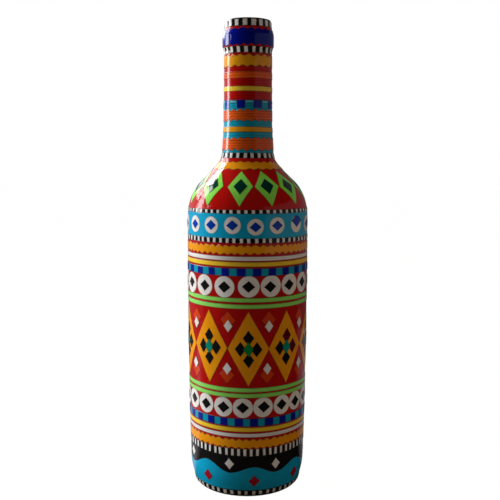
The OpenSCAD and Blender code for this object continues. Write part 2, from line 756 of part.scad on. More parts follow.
module neck_stripe_orange() color(orange) wrap(neck_orange_top - neck_orange_w, neck_orange_top, 2);

module neck_stripe_yellow() color(yellow) wrap(neck_yellow_top - neck_yellow_w, neck_yellow_top, 2);

module neck_ground_teal() color(teal) ground(foot_wrap_top, teal_top);

module neck_checks_cobalt()
    color(cobalt) checks(teal_top - neck_check_h, teal_top - butt_gap, 2,
        neck_checks_n, neck_check_w, neck_checks_turn);

module neck_strip_orange_upper()
    color(orange) pinked_wrap(orange_upper_top - orange_upper_w, orange_upper_top, 2,
        orange_teeth, pinking_depth, orange_upper_turn);

module neck_stripe_amber() color(amber) wrap(amber_stripe_top - amber_stripe_w, amber_stripe_top, 2);

module neck_strip_orange_lower()
    color(orange) pinked_wrap(orange_lower_top - orange_lower_w, orange_lower_top, 2,
        orange_teeth, pinking_depth, orange_lower_turn);

module neck_foot_wrap_black() color(black) ground(foot_wrap_z, foot_wrap_top);

module neck_foot_checks_white()
    color(white) checks(foot_wrap_z + butt_gap, foot_wrap_top - butt_gap, 2,
        foot_checks_n, foot_check_w, foot_turn);

module shoulder_ground_red() color(red) ground(shoulder_wrap_top, foot_wrap_z);

module shoulder_strip_amber()
    color(amber) pinked_wrap(shoulder_amber_top - shoulder_amber_w, shoulder_amber_top, 2,
        shoulder_amber_teeth, fine_pinking_depth, shoulder_amber_turn);

module shoulder_diamonds_green()
    color(green) around(diamonds_n, diamond_turn)
        diamond_between(diamond_foot, diamond_top, diamond_w, 2, diamond_lean);

module shoulder_diamonds_dark()
    color(dark_green) around(diamonds_n, diamond_turn)
        diamond_between(diamond_foot + dark_rise, diamond_top - dark_drop, dark_w, 3, diamond_lean);

module shoulder_wrap_black() color(black) ground(shoulder_wrap_z, shoulder_wrap_top);

module shoulder_checks_white()
    color(white) checks(shoulder_wrap_z + butt_gap, shoulder_wrap_top - butt_gap, 2,
        shoulder_checks_n, shoulder_check_w, shoulder_turn);

module disc_band_blue() color(sky) ground(blue_band_z, shoulder_wrap_z);

module disc_band_discs_white()
    color(white) discs(blue_disc_z, blue_disc_d, 2, blue_discs_n, blue_disc_turn);

module disc_band_diamonds_cobalt()
    color(cobalt) around(blue_discs_n, blue_disc_turn)
        diamond(blue_disc_z, blue_diamond_w, blue_diamond_l, 3);

module waist_wrap_black() color(black) ground(waist_wrap_z, blue_band_z);

module waist_checks_white()
    color(white) checks(waist_wrap_z + butt_gap, blue_band_z - butt_gap, 2,
        waist_checks_n, waist_check_w, waist_turn);

module body_ground_red() color(red) ground(base_top_z, waist_wrap_z);

module upper_strip_amber()
    color(amber) pinked_wrap(upper_amber_top - upper_amber_w, upper_amber_top, 2,
        upper_amber_teeth, pinking_depth, upper_amber_turn);

module upper_stripe_white() color(white) wrap(upper_white_top - white_stripe_w, upper_white_top, 2);

module upper_stripe_yellow() color(yellow) wrap(upper_yellow_top - yellow_stripe_w, upper_yellow_top, 2);

module upper_ring_teal() color(teal) wrap(upper_ring_z, upper_ring_top, 2);

module upper_checks_cobalt()
    color(cobalt) checks(upper_ring_z, upper_ring_top, 3, ring_checks_n, ring_check_w, upper_ring_turn);

module upper_discs_white()
    color(white) discs(upper_disc_z, upper_disc_d, 2, upper_discs_n, upper_disc_turn);

module upper_diamonds_black()
    color(black) around(upper_discs_n, upper_disc_turn)
        diamond(upper_disc_z, disc_diamond_w, disc_diamond_l, 3);

module upper_stripes_green() color(green) {
    wrap(upper_green_top - green_stripe_w, upper_green_top, 2);
    wrap(upper_green_z, upper_green_z + green_stripe_w, 2);
}

module lozenges_amber()
    color(amber) around(lozenges_n, lozenge_turn) diamond(lozenge_z, lozenge_w, lozenge_l, 2);

module lozenge_crosses_black() {
    side_turn = asin(cross_reach / skin_r(lozenge_z));
    color(black) around(lozenges_n, lozenge_turn) {
        for (rise = [-cross_rise, cross_rise]) diamond(lozenge_z + rise, cross_w, cross_l, 3);
        for (turn = [-side_turn, side_turn]) rotate(turn) diamond(lozenge_z, cross_w, cross_l, 3);
    }
}

module lozenge_centres_green()
    color(leaf) around(lozenges_n, lozenge_turn) diamond(lozenge_z, centre_w, centre_l, 4);

module gap_diamonds_orange()
    color(orange) around(lozenges_n, gap_turn)
        for (z = [gap_up_z, gap_down_z]) diamond(z, gap_orange_w, gap_orange_l, 2);

module gap_diamonds_white()
    color(white) around(lozenges_n, gap_turn)
        for (z = [gap_up_z - gap_white_shift, gap_down_z + gap_white_shift])
            diamond(z, gap_white_w, gap_white_l, 3);

module lower_stripes_green() color(green) {
    wrap(lower_green_z, lower_green_z + green_stripe_w, 2);
    wrap(lower_green_top - green_stripe_w, lower_green_top, 2);
}

module lower_discs_white()
    color(white) discs(lower_disc_z, lower_disc_d, 2, lower_discs_n, lower_disc_turn);

module lower_diamonds_black()
    color(black) around(lower_discs_n, lower_disc_turn)
        diamond(lower_disc_z, disc_diamond_w, disc_diamond_l, 3);

module lower_ring_teal() color(teal) wrap(lower_ring_z, lower_ring_top, 2);

module lower_checks_cobalt()
    color(cobalt) checks(lower_ring_z, lower_ring_top, 3, ring_checks_n, ring_check_w, lower_ring_turn);

module lower_stripe_yellow()
    color(yellow) wrap(lower_yellow_z, lower_yellow_z + yellow_stripe_w, 2);

module lower_stripe_white() color(white) wrap(lower_white_z, lower_white_z + white_stripe_w, 2);

module lower_strip_amber()
    color(amber) pinked_wrap(lower_amber_z, lower_amber_top, 2,
        lower_amber_teeth, pinking_depth, lower_amber_turn);

module base_band_black()
    color(black) difference() {
        ground(wave_z - wave_rise - edge_room, base_top_z);
        beyond_wave(-1);
    }

module base_bars_white()
    color(white) checks(base_top_z - bar_h, base_top_z - butt_gap, 2, bars_n, bar_w, bar_turn);

module base_diamonds_white()
    color(white) for (k = [0:waves_n - 1])
        rotate(front + crest_at(k + 0.5)) diamond(wave_z + base_white_rise, base_white_w, base_white_l, 2);

module base_band_blue()
    color(sky) difference() {
        ground(heel_wrap_top_z, wave_z + wave_rise + edge_room);
        beyond_wave(1);
    }

module base_diamonds_red()
    color(crimson) for (k = [0:waves_n - 1])
        rotate(front + crest_at(k)) diamond(wave_z - base_red_drop, base_red_w, base_red_l, 2);

module heel_wrap_black() color(black) wrap(heel_wrap_z, heel_wrap_top_z - butt_gap / 2);

module heel_checks_white() {
    top = heel_wrap_top_z - heel_check_drop;
    color(white) checks(top - heel_check_h, top, 2, heel_checks_n, heel_check_w, heel_turn);
}

glass_bottle();
rim_wrap_black();
rim_checks_white();
finish_ground_red();
finish_strip_cobalt();
collar_wrap_black();
collar_checks_white();
neck_ground_red();
neck_strip_amber();
neck_stripe_orange();
neck_stripe_yellow();
neck_ground_teal();
neck_checks_cobalt();
neck_strip_orange_upper();
neck_stripe_amber();
neck_strip_orange_lower();
neck_foot_wrap_black();
neck_foot_checks_white();
shoulder_ground_red();
shoulder_strip_amber();
shoulder_diamonds_green();
shoulder_diamonds_dark();
shoulder_wrap_black();
shoulder_checks_white();
disc_band_blue();
disc_band_discs_white();
disc_band_diamonds_cobalt();
waist_wrap_black();
waist_checks_white();
body_ground_red();
upper_strip_amber();
upper_stripe_white();
upper_stripe_yellow();
upper_ring_teal();
upper_checks_cobalt();
upper_discs_white();
upper_diamonds_black();
upper_stripes_green();
lozenges_amber();
lozenge_crosses_black();
lozenge_centres_green();
gap_diamonds_orange();
gap_diamonds_white();
lower_stripes_green();
lower_discs_white();
lower_diamonds_black();
lower_ring_teal();
lower_checks_cobalt();
lower_stripe_yellow();
lower_stripe_white();
lower_strip_amber();
base_band_black();
base_bars_white();
base_diamonds_white();
base_band_blue();
base_diamonds_red();
heel_wrap_black();
heel_checks_white();
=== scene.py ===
# A tall round-shouldered bottle dressed from lip to heel in layers of cut vinyl tape.
# Sizes are in millimetres until a mesh is made. Angles are in degrees, counted to the right of the front.
import math
import random

import bmesh
import bpy
import numpy as np
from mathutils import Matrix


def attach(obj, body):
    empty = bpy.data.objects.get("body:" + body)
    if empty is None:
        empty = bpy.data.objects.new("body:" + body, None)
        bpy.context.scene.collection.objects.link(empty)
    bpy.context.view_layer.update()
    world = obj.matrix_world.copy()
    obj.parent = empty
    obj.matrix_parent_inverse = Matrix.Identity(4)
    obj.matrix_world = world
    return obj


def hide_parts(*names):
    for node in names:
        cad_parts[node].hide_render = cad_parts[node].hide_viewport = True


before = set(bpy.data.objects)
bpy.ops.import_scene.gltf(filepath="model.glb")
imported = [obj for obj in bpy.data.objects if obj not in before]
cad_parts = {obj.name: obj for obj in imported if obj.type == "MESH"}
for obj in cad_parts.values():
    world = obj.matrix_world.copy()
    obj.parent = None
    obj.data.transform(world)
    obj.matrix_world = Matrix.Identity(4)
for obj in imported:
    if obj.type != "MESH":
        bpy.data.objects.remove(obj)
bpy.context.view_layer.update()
metresPerMm = 0.001
print("frame loaded:", len(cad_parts), "nodes")

# The bottle's outline
glassShape = {
    "bodyHeight": 190.0,  # corner where the side would meet the shoulder's slope
    "shoulderHeight": 22.7,
    "neckHeight": 68.2,
    "finishHeight": 19.5,
    "bodyRadius": 38.6,
    "bodyTaper": 1.65,
    "straightSide": 40.0,
    "heelTop": 14.0,
    "heelInset": 3.4,
    "heelRound": 5.5,
    "heelBend": 30.0,
    "taperLift": 3.0,  # where the long taper starts, above the heel's bend
    "restRing": 2.8,
    "shoulderBend": 31.0,
    "neckFootRadius": 16.6,
    "neckFootBend": 14.0,
    "flareRadius": 15.4,
    "flareHeight": 22.3,
    "flareBend": 80.0,
    "neckTopRadius": 15.0,
    "neckTopBend": 5.0,
    "notchBendHeight": 2.3,
    "notchRadius": 14.75,
    "notchRound": 1.2,
    "finishLowRadius": 15.95,
    "finishLowHeight": 3.3,
    "finishLowRound": 2.0,
    "finishMidRadius": 16.0,
    "finishMidDrop": 9.4,
    "finishBend": 6.0,
    "lipRadius": 14.5,
    "lipHeight": 4.0,
    "lipLean": 0.1,
    "lipRound": 1.4,
    "mouthEdge": 10.65,  # inner edge of the tape on top of the lip
    "arcStep": 2.0,  # degrees between points on a bend
    "sideSteps": 24,
}

# How the tape is cut and laid
tapeWork = {
    "thickness": 0.15,
    "glue": 0.04,  # film under each layer
    "buttGap": 0.12,
    "seamGap": 0.4,
    "rimDrop": 0.03,  # the cut edge is a little lower than the tape's face
    "rimInset": 0.06,
    "rimFade": 0.32,  # width of the rim darkened by dirt and painted shade
    "rimStain": 0.8,  # darkness of the bevel, dirt and painted shade, where the cut edge has 1
    "skirt": 0.1,  # how far the darkened skirt, glue dirt and painted edge shadow, stands out round a cut piece
    # Skirts of stripes and bands, and how dark they are painted: shade in the narrow gaps between stripes,
    # and glue dirt
    "stripeSkirt": 0.2,
    "bandSkirt": 0.058,
    "stripeDirt": 1.6,
    "wander": 0.11,  # how far a band strays from level
    "wanderPhases": (2.3, 5.1),
    "columnStep": 1.5,  # degrees
    "rowStep": 1.1,
    "longestRow": 8.0,
    "cellSize": 1.3,
    "ringSpread": 1.6,  # rings inside a piece, in cells
    "sharpAngle": 20.0,  # degrees
    "shift": 0.13,  # how far hand-laid pieces stray from their places
    "twist": 1.3,  # degrees
    "sizeSpread": 0.012,  # shares of a piece's size
    "checkSpread": 0.05,
    "checkSkew": 0.09,  # how far a check is cut out of square
    "checkStray": 0.12,
    "checkRise": 0.03,
    "toothShift": 0.07,  # shares of a tooth's width and depth
    "toothDepth": 0.1,
}


def unit(v):
    return v / np.linalg.norm(v)


def bentCorner(before, corner, after, radius, step):
    a, b = unit(before - corner), unit(after - corner)
    half = math.acos(float(np.clip(a @ b, -1, 1))) / 2
    centre = corner + unit(a + b) * radius / math.sin(half)
    start = corner + a * radius / math.tan(half) - centre
    end = corner + b * radius / math.tan(half) - centre
    first = math.atan2(start[1], start[0])
    turn = (math.atan2(end[1], end[0]) - first + 3 * math.pi) % (2 * math.pi) - math.pi
    count = max(2, math.ceil(abs(math.degrees(turn)) / step))
    angles = first + turn * np.arange(count + 1) / count
    return [centre + radius * np.array([math.cos(t), math.sin(t)]) for t in angles]


def bentLine(corners, step):
    points = [np.array(c[:2], float) for c in corners]
    line = []
    for i, (r, z, radius) in enumerate(corners):
        if radius == 0:
            line.append(points[i])
        else:
            line += bentCorner(points[i - 1], points[i], points[i + 1], radius, step)
    return line


def outlineOf(g):
    footZ = g["bodyHeight"] + g["shoulderHeight"]
    notchZ = footZ + g["neckHeight"]
    topZ = notchZ + g["finishHeight"]
    taperTop = g["bodyHeight"] - g["straightSide"]
    sideLow = g["bodyRadius"] - g["bodyTaper"]
    heelFoot = sideLow - g["heelInset"]
    heelAngle = math.atan2(g["heelInset"], g["heelTop"])
    bendZ = g["heelTop"] + g["heelBend"] * math.tan(heelAngle / 2) + g["taperLift"]
    restRing = heelFoot - g["heelRound"] * math.tan(math.pi / 4 - heelAngle / 2)

    def side(z):
        return g["bodyRadius"] - g["bodyTaper"] * ((taperTop - z) / (taperTop - g["heelTop"])) ** 2

    low = [(restRing - g["restRing"], 0, 0), (heelFoot, 0, g["heelRound"]),
           (sideLow, g["heelTop"], g["heelBend"]), (side(bendZ), bendZ, 0)]
    high = [(g["bodyRadius"], taperTop, 0),
            (g["bodyRadius"], g["bodyHeight"], g["shoulderBend"]),
            (g["neckFootRadius"], footZ, g["neckFootBend"]),
            (g["flareRadius"], footZ + g["flareHeight"], g["flareBend"]),
            (g["neckTopRadius"], notchZ - g["notchBendHeight"], g["neckTopBend"]),
            (g["notchRadius"], notchZ, g["notchRound"]),
            (g["finishLowRadius"], notchZ + g["finishLowHeight"], g["finishLowRound"]),
            (g["finishMidRadius"], topZ - g["finishMidDrop"], g["finishBend"]),
            (g["lipRadius"], topZ - g["lipHeight"], g["finishBend"]),
            (g["lipRadius"] - g["lipLean"], topZ, g["lipRound"]),
            (g["mouthEdge"], topZ, 0)]
    heights = bendZ + (taperTop - bendZ) * np.arange(1, g["sideSteps"]) / g["sideSteps"]
    middle = [np.array([side(z), z]) for z in heights]
    return np.array(bentLine(low, g["arcStep"]) + middle + bentLine(high, g["arcStep"]))


skin = outlineOf(glassShape)
steps = np.diff(skin, axis=0)
lengths = np.hypot(steps[:, 0], steps[:, 1])
skinRun = np.concatenate([[0], np.cumsum(lengths)])  # distance along the outline
facing = np.stack([steps[:, 1], -steps[:, 0]], 1) / lengths[:, None]
skinOut = np.vstack([facing[:1], facing[:-1] + facing[1:], facing[-1:]])
skinOut /= np.linalg.norm(skinOut, axis=1)[:, None]
rising = np.concatenate([[False], np.diff(skin[:, 1]) > 1e-6])
mouthRun = float(skinRun[-1])


def runAt(z):  # distance along the outline at a height
    return np.interp(z, skin[rising, 1], skinRun[rising])


def radiusAt(run):
    return np.interp(run, skinRun, skin[:, 0])


def heightAt(run):
    return np.interp(run, skinRun, skin[:, 1])


def pointsOn(theta, run, depth):  # points a depth outside the glass, in metres
    r = radiusAt(run) + depth * np.interp(run, skinRun, skinOut[:, 0])
    z = heightAt(run) + depth * np.interp(run, skinRun, skinOut[:, 1])
    a = np.radians(theta)
    return np.stack([r * np.sin(a), -r * np.cos(a), z], -1).reshape(-1, 3) * metresPerMm


def underside(layer):
    return layer * tapeWork["glue"] + (layer - 1) * tapeWork["thickness"]


def wanderOf(z, theta):  # bands that share a border share its wander
    a = np.radians(theta)
    once, twice = tapeWork["wanderPhases"]
    return tapeWork["wander"] * (np.sin(a + once * z) + 0.5 * np.sin(2 * a + twice * z))


# Meshes are gathered in a pile: points and faces, and for each point how near it is to a cut edge,
# whether its piece has the odd colour, and its place on the tape
def newPile():
    return {"points": [], "faces": [], "rim": [], "run": [], "tone": [], "odd": 0.0, "count": 0}


def addRows(pile, rows):  # rows of (theta, run, depth, rim); gives the first point of each
    firsts = []
    for theta, run, depth, rim in rows:
        theta = np.asarray(theta, float)
        run = np.broadcast_to(np.asarray(run, float), theta.shape)
        firsts.append(pile["count"])
        pile["points"].append(pointsOn(theta, run, depth))
        pile["rim"].append(np.full(theta.shape, rim))
        pile["tone"].append(np.full(theta.shape, pile["odd"]))
        along = np.radians(theta) * radiusAt(run)
        pile["run"].append(np.stack([along, run, np.zeros_like(run)], -1) * metresPerMm)
        pile["count"] += len(theta)
    return firsts


def bridge(pile, a, b, count, closed):
    last = count if closed else count - 1
    for j in range(last):
        k = (j + 1) % count
        pile["faces"].append((a + j, a + k, b + k, b + j))


def sew(pile, face, back, closed):  # rows of points become a face, a back and the cut edge between them
    count = len(face[0][0])
    faceRows, backRows = addRows(pile, face), addRows(pile, back)
    for a, b in zip(faceRows, faceRows[1:]):
        bridge(pile, a, b, count, closed)
    for a, b in zip(backRows, backRows[1:]):
        bridge(pile, b, a, count, closed)
    bridge(pile, backRows[0], faceRows[0], count, closed)
    return faceRows, backRows


def inside(a, b):  # places between two runs where rows are needed to follow the outline
    marks = [a]
    for s in skinRun:
        if a < s < b and s - marks[-1] > tapeWork["rowStep"]:
            marks.append(float(s))
    marks = [m for m in marks[1:] if b - m > tapeWork["rowStep"] / 2]
    full = []
    for low, high in zip([a] + marks, marks + [b]):
        parts = max(1, math.ceil((high - low) / tapeWork["longestRow"]))
        full += [low + (high - low) * i / parts for i in range(1, parts)]
        full.append(high)
    return [(m - a) / (b - a) for m in full[:-1]]


def layBand(pile, low, high, layer, columns):
    w = tapeWork
    under = underside(layer)
    top = under + w["thickness"]
    fade, inset, drop, stain = w["rimFade"], w["rimInset"], w["rimDrop"], w["rimStain"]
    shares = inside(float(np.mean(low)) + fade, float(np.mean(high)) - fade)
    inner = [low + fade + (high - low - 2 * fade) * f for f in shares]
    face = [(low, top - drop, 1), (low + inset, top, stain), (low + fade, top, 0)]
    face += [(run, top, 0) for run in inner]
    face += [(high - fade, top, 0), (high - inset, top, stain), (high, top - drop, 1)]
    # the skirt under a band is painted dark: shade at the tape's edge and glue dirt
    skirt, dirt = w["bandSkirt"] if layer == 1 else w["stripeSkirt"], w["stripeDirt"]
    back = [(run, under, dirt) for run in (low - skirt, *inner, high + skirt)]
    count = len(columns)
    face, back = ([(columns, *row) for row in rows] for rows in (face, back))
    faceRows, backRows = sew(pile, face, back, False)
    bridge(pile, faceRows[-1], backRows[-1], count, False)
    for column in (0, count - 1):
        loop = [row + column for row in faceRows] + [row + column for row in reversed(backRows)]
        pile["faces"].append(tuple(loop))


def columnsFor(radius, marks=(), seam=180.0):
    gap = math.degrees(tapeWork["seamGap"] / radius) / 2
    start, end = seam - 360 + gap, seam - gap
    wanted = [m for m in marks if start + 0.1 < m < end - 0.1]
    wanted = sorted(set(np.round([start, end] + wanted, 4)))
    columns = []
    for a, b in zip(wanted[:-1], wanted[1:]):
        parts = max(1, math.ceil((b - a) / tapeWork["columnStep"] - 0.05))
        columns += [a + (b - a) * i / parts for i in range(parts)]
    return np.array(columns + [wanted[-1]])


# The outline of a cut piece is a convex polygon round its middle, across and up
def drawnIn(corners, inset):
    corners = np.array(corners, float)
    before, after = np.roll(corners, 1, 0), np.roll(corners, -1, 0)
    a = (corners - before) / np.linalg.norm(corners - before, axis=1)[:, None]
    b = (after - corners) / np.linalg.norm(after - corners, axis=1)[:, None]
    normals = [np.stack([-v[:, 1], v[:, 0]], 1) for v in (a, b)]
    middle = normals[0] + normals[1]
    return corners + inset * middle * 2 / np.sum(middle * middle, axis=1)[:, None]


def stepped(corners, parts):
    out = []
    for p, q in zip(corners, np.roll(corners, -1, 0)):
        out += [p + (q - p) * i / parts for i in range(parts)]
    return np.array(out)


def layPiece(pile, corners, theta, run, layer, twist=0.0, across=0.0, up=0.0):
    w = tapeWork
    under = underside(layer)
    top = under + w["thickness"]
    side = float(np.max(np.linalg.norm(np.roll(corners, -1, 0) - corners, axis=1)))
    reach = float(np.max(np.linalg.norm(corners, axis=1)))
    parts = max(1, math.ceil(side / w["cellSize"]))
    rings = max(1, math.ceil(reach / w["cellSize"] / w["ringSpread"]))
    c, s = math.cos(math.radians(twist)), math.sin(math.radians(twist))

    def ring(shape, depth, rim):
        p = stepped(shape, parts)
        x, y = p[:, 0] * c - p[:, 1] * s + across, p[:, 0] * s + p[:, 1] * c + up
        return (theta + np.degrees(x / radiusAt(run + y)), run + y, depth, rim)

    core = drawnIn(corners, w["rimFade"])
    face = [ring(corners, top - w["rimDrop"], 1), ring(drawnIn(corners, w["rimInset"]), top, w["rimStain"])]
    face += [ring(core * (rings - i) / rings, top, 0) for i in range(rings)]
    # the skirt under the cut edge is painted dark: shade at the edge and glue dirt
    back = [ring(drawnIn(corners, -w["skirt"]), under, 1)]
    back += [ring(core * (rings - i) / rings, under, 1) for i in range(1, rings)]
    faceRows, backRows = sew(pile, face, back, True)
    count = len(face[0][0])
    middle = (np.array([theta + math.degrees(across / float(radiusAt(run)))]), np.array([run + up]))
    faceTip, backTip = addRows(pile, [(*middle, top, 0), (*middle, under, 1)])
    for j in range(count):
        k = (j + 1) % count
        pile["faces"].append((faceRows[-1] + j, faceRows[-1] + k, faceTip))
        pile["faces"].append((backRows[-1] + k, backRows[-1] + j, backTip))


def inScene(name, data):
    made = bpy.data.objects.new(name, data)
    bpy.context.scene.collection.objects.link(made)
    return made


def makePiece(node, pile, finish):
    mesh = bpy.data.meshes.new(node)
    mesh.from_pydata(np.concatenate(pile["points"]).tolist(), [], pile["faces"])
    for name, key, kind, field in (("cutRim", "rim", "FLOAT", "value"), ("oddTone", "tone", "FLOAT", "value"),
                                   ("tapeRun", "run", "FLOAT_VECTOR", "vector")):
        values = np.concatenate(pile[key]).astype(np.float32).ravel()
        mesh.attributes.new(name, kind, "POINT").data.foreach_set(field, values)
    bm = bmesh.new()
    bm.from_mesh(mesh)
    bmesh.ops.recalc_face_normals(bm, faces=bm.faces)
    bm.to_mesh(mesh)
    bm.free()
    mesh.shade_smooth()
    mesh.set_sharp_from_angle(angle=math.radians(tapeWork["sharpAngle"]))
    first, *rest = node.split("_")
    piece = inScene(first + "".join(word.capitalize() for word in rest), mesh)
    mesh.materials.append(finishes[finish])
    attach(piece, "root")
    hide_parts(node)
    return piece


# Shared shading: one group for all the vinyl
vinylLook = {
    "cloudScale": 45,
    "grainScale": 900,
    "streakScale": 700,
    "smudgeScale": 120,
    "seamsPerMetre": 620,  # narrow tapes laid edge to edge
    "seamDrift": 2.2,
    "seamSharpness": 6.0,
    "seamPatches": 1.5,
    # dark brown for cut edges: glue dirt and painted edge shade
    "dirt": (0.035, 0.018, 0.012, 1),
    "roughness": 0.045,
    "rimRoughness": 0.2,
    "waveHeight": 0.010,  # heights in millimetres
    "peelHeight": 0.0016,
    "ridgeHeight": 0.0022,
    "creaseHeight": 0.035,
    "creaseSharpness": 9.0,
    "ior": 1.5,
}


def addNode(tree, kind, given=None, **settings):  # what is given to a socket is a value or another socket
    node = tree.nodes.new("ShaderNode" + kind)
    for name, setting in settings.items():
        setattr(node, name, setting)
    for name, value in (given or {}).items():
        if hasattr(value, "node"):
            tree.links.new(value, node.inputs[name])
        else:
            node.inputs[name].default_value = value
    return node


def buildVinylGroup(look):
    group = bpy.data.node_groups.new("vinylTape", "ShaderNodeTree")
    face = group.interface
    grey = (0.5, 0.5, 0.5, 1)
    for name, start in (("Colour", grey), ("Odd Colour", grey), ("Mottle", 0.12), ("Rim Dirt And Shade", 0.6),
                        ("Ridges", 0.0), ("Creases", 0.0), ("Seams", 0.0), ("Gloss Spread", 0.04)):
        kind = "NodeSocketColor" if start == grey else "NodeSocketFloat"
        face.new_socket(name, in_out="INPUT", socket_type=kind).default_value = start
    for name, kind in (("Colour", "Color"), ("Roughness", "Float"), ("Height", "Float")):
        face.new_socket(name, in_out="OUTPUT", socket_type="NodeSocket" + kind)
    nodes, links = group.nodes, group.links
    given, out = nodes.new("NodeGroupInput").outputs, nodes.new("NodeGroupOutput").inputs
    body = addNode(group, "TexCoord").outputs["Object"]
    rim = addNode(group, "Attribute", attribute_name="cutRim").outputs["Fac"]
    tape = addNode(group, "Attribute", attribute_name="tapeRun").outputs["Vector"]
    odd = addNode(group, "Attribute", attribute_name="oddTone").outputs["Fac"]

    def value(kind, *numbers):
        return addNode(group, "Math", dict(enumerate(numbers)), operation=kind).outputs[0]

    def noise(vector, scale, detail, rough=0.5):
        given = {"Vector": vector, "Scale": scale, "Detail": detail, "Roughness": rough}
        return addNode(group, "TexNoise", given).outputs["Fac"]

    def stretched(vector, x, y):
        return addNode(group, "Mapping", {"Scale": (x, y, 1), "Vector": vector}).outputs["Vector"]

    def mixed(factor, a, b, kind="MIX"):
        given = {"Factor": factor, "A": a, "B": b}
        return addNode(group, "Mix", given, data_type="RGBA", blend_type=kind).outputs["Result"]

    # Narrow tapes laid edge to edge: 0 on a seam, 1 between seams
    split = addNode(group, "SeparateXYZ", {0: tape})
    drift = value("MULTIPLY", noise(stretched(tape, 0.3, 1), 45, 2), look["seamDrift"])
    seamSaw = value("PINGPONG", value("MULTIPLY_ADD", split.outputs["Y"], look["seamsPerMetre"], drift), 0.5)
    seamLine = value("SMOOTH_MIN", value("MULTIPLY", seamSaw, look["seamSharpness"]), 1.0, 0.5)
    seamPatch = value("MULTIPLY", noise(stretched(tape, 0.25, 1), 110, 1), look["seamPatches"])

    # Colour: slow drift, fine grain, long streaks, dark seams, and a dark brown line along each cut, part
    # glue dirt and part painted shade of the edge
    cloud = value("SUBTRACT", noise(body, look["cloudScale"], 3), 0.5)
    grain = value("SUBTRACT", noise(body, look["grainScale"], 2), 0.5)
    streak = value("SUBTRACT", noise(stretched(tape, 0.06, 1), look["streakScale"], 2), 0.5)
    uneven = value("ADD", value("ADD", cloud, grain), streak)
    seamDark = value("MULTIPLY", value("SUBTRACT", 1.0, seamLine), seamPatch)
    seamDark = value("MULTIPLY", seamDark, given["Seams"])
    shade = value("SUBTRACT", value("MULTIPLY_ADD", given["Mottle"], uneven, 1.0), seamDark)
    shadeColour = addNode(group, "CombineColor", {"Red": shade, "Green": shade, "Blue": shade})
    chosen = mixed(odd, given["Colour"], given["Odd Colour"])
    tinted = mixed(1.0, chosen, shadeColour.outputs["Color"], "MULTIPLY")
    # cut edges go dark brown: glue dirt and painted shade
    links.new(mixed(value("MULTIPLY", rim, given["Rim Dirt And Shade"]), tinted, look["dirt"]), out["Colour"])

    # Roughness: smudges from handling
    smudge = noise(stretched(tape, 1, 0.35), look["smudgeScale"], 4, 0.6)
    rough = value("MULTIPLY_ADD", smudge, given["Gloss Spread"], look["roughness"])
    links.new(value("MULTIPLY_ADD", rim, look["rimRoughness"], rough), out["Roughness"])

    # Height in millimetres: slow waves, seams of narrow tape, creases where it was stretched
    wave = value("MULTIPLY", noise(stretched(tape, 1, 0.5), 70, 1), look["waveHeight"])
    peel = value("MULTIPLY", noise(body, 420, 1), look["peelHeight"])
    ridges = value("MULTIPLY", value("MULTIPLY", seamLine, look["ridgeHeight"]), given["Ridges"])
    fold = value("ABSOLUTE", value("SUBTRACT", noise(stretched(tape, 1, 0.12), 150, 2), 0.5))
    foldLine = value("SMOOTH_MIN", value("MULTIPLY", fold, look["creaseSharpness"]), 1.0, 0.3)
    creases = value("MULTIPLY", value("MULTIPLY", foldLine, look["creaseHeight"]), given["Creases"])
    links.new(value("ADD", value("ADD", wave, peel), value("ADD", ridges, creases)), out["Height"])
    return group


vinylGroup = buildVinylGroup(vinylLook)


def newMaterial(name):
    material = bpy.data.materials.new(name)
    material.use_nodes = True
    return material, material.node_tree


def linear(*rgb):  # a colour read as 0 to 255 on a screen
    shares = [c / 255 for c in rgb]
    return tuple(c / 12.92 if c <= 0.04045 else ((c + 0.055) / 1.055) ** 2.4 for c in shares) + (1,)


def vinyl(name, colour, look):
    material, tree = newMaterial(name)
    shader = tree.nodes["Principled BSDF"]
    group = addNode(tree, "Group", node_tree=vinylGroup)
    for socket, value in {"Colour": colour, "Odd Colour": colour, **look}.items():
        group.inputs[socket].default_value = linear(*value) if socket.endswith("Colour") else value
    bump = addNode(tree, "Bump", {"Distance": metresPerMm, "Height": group.outputs["Height"]})
    tree.links.new(group.outputs["Colour"], shader.inputs["Base Color"])
    tree.links.new(group.outputs["Roughness"], shader.inputs["Roughness"])
    tree.links.new(bump.outputs["Normal"], shader.inputs["Normal"])
    shader.inputs["IOR"].default_value = vinylLook["ior"]
    return material


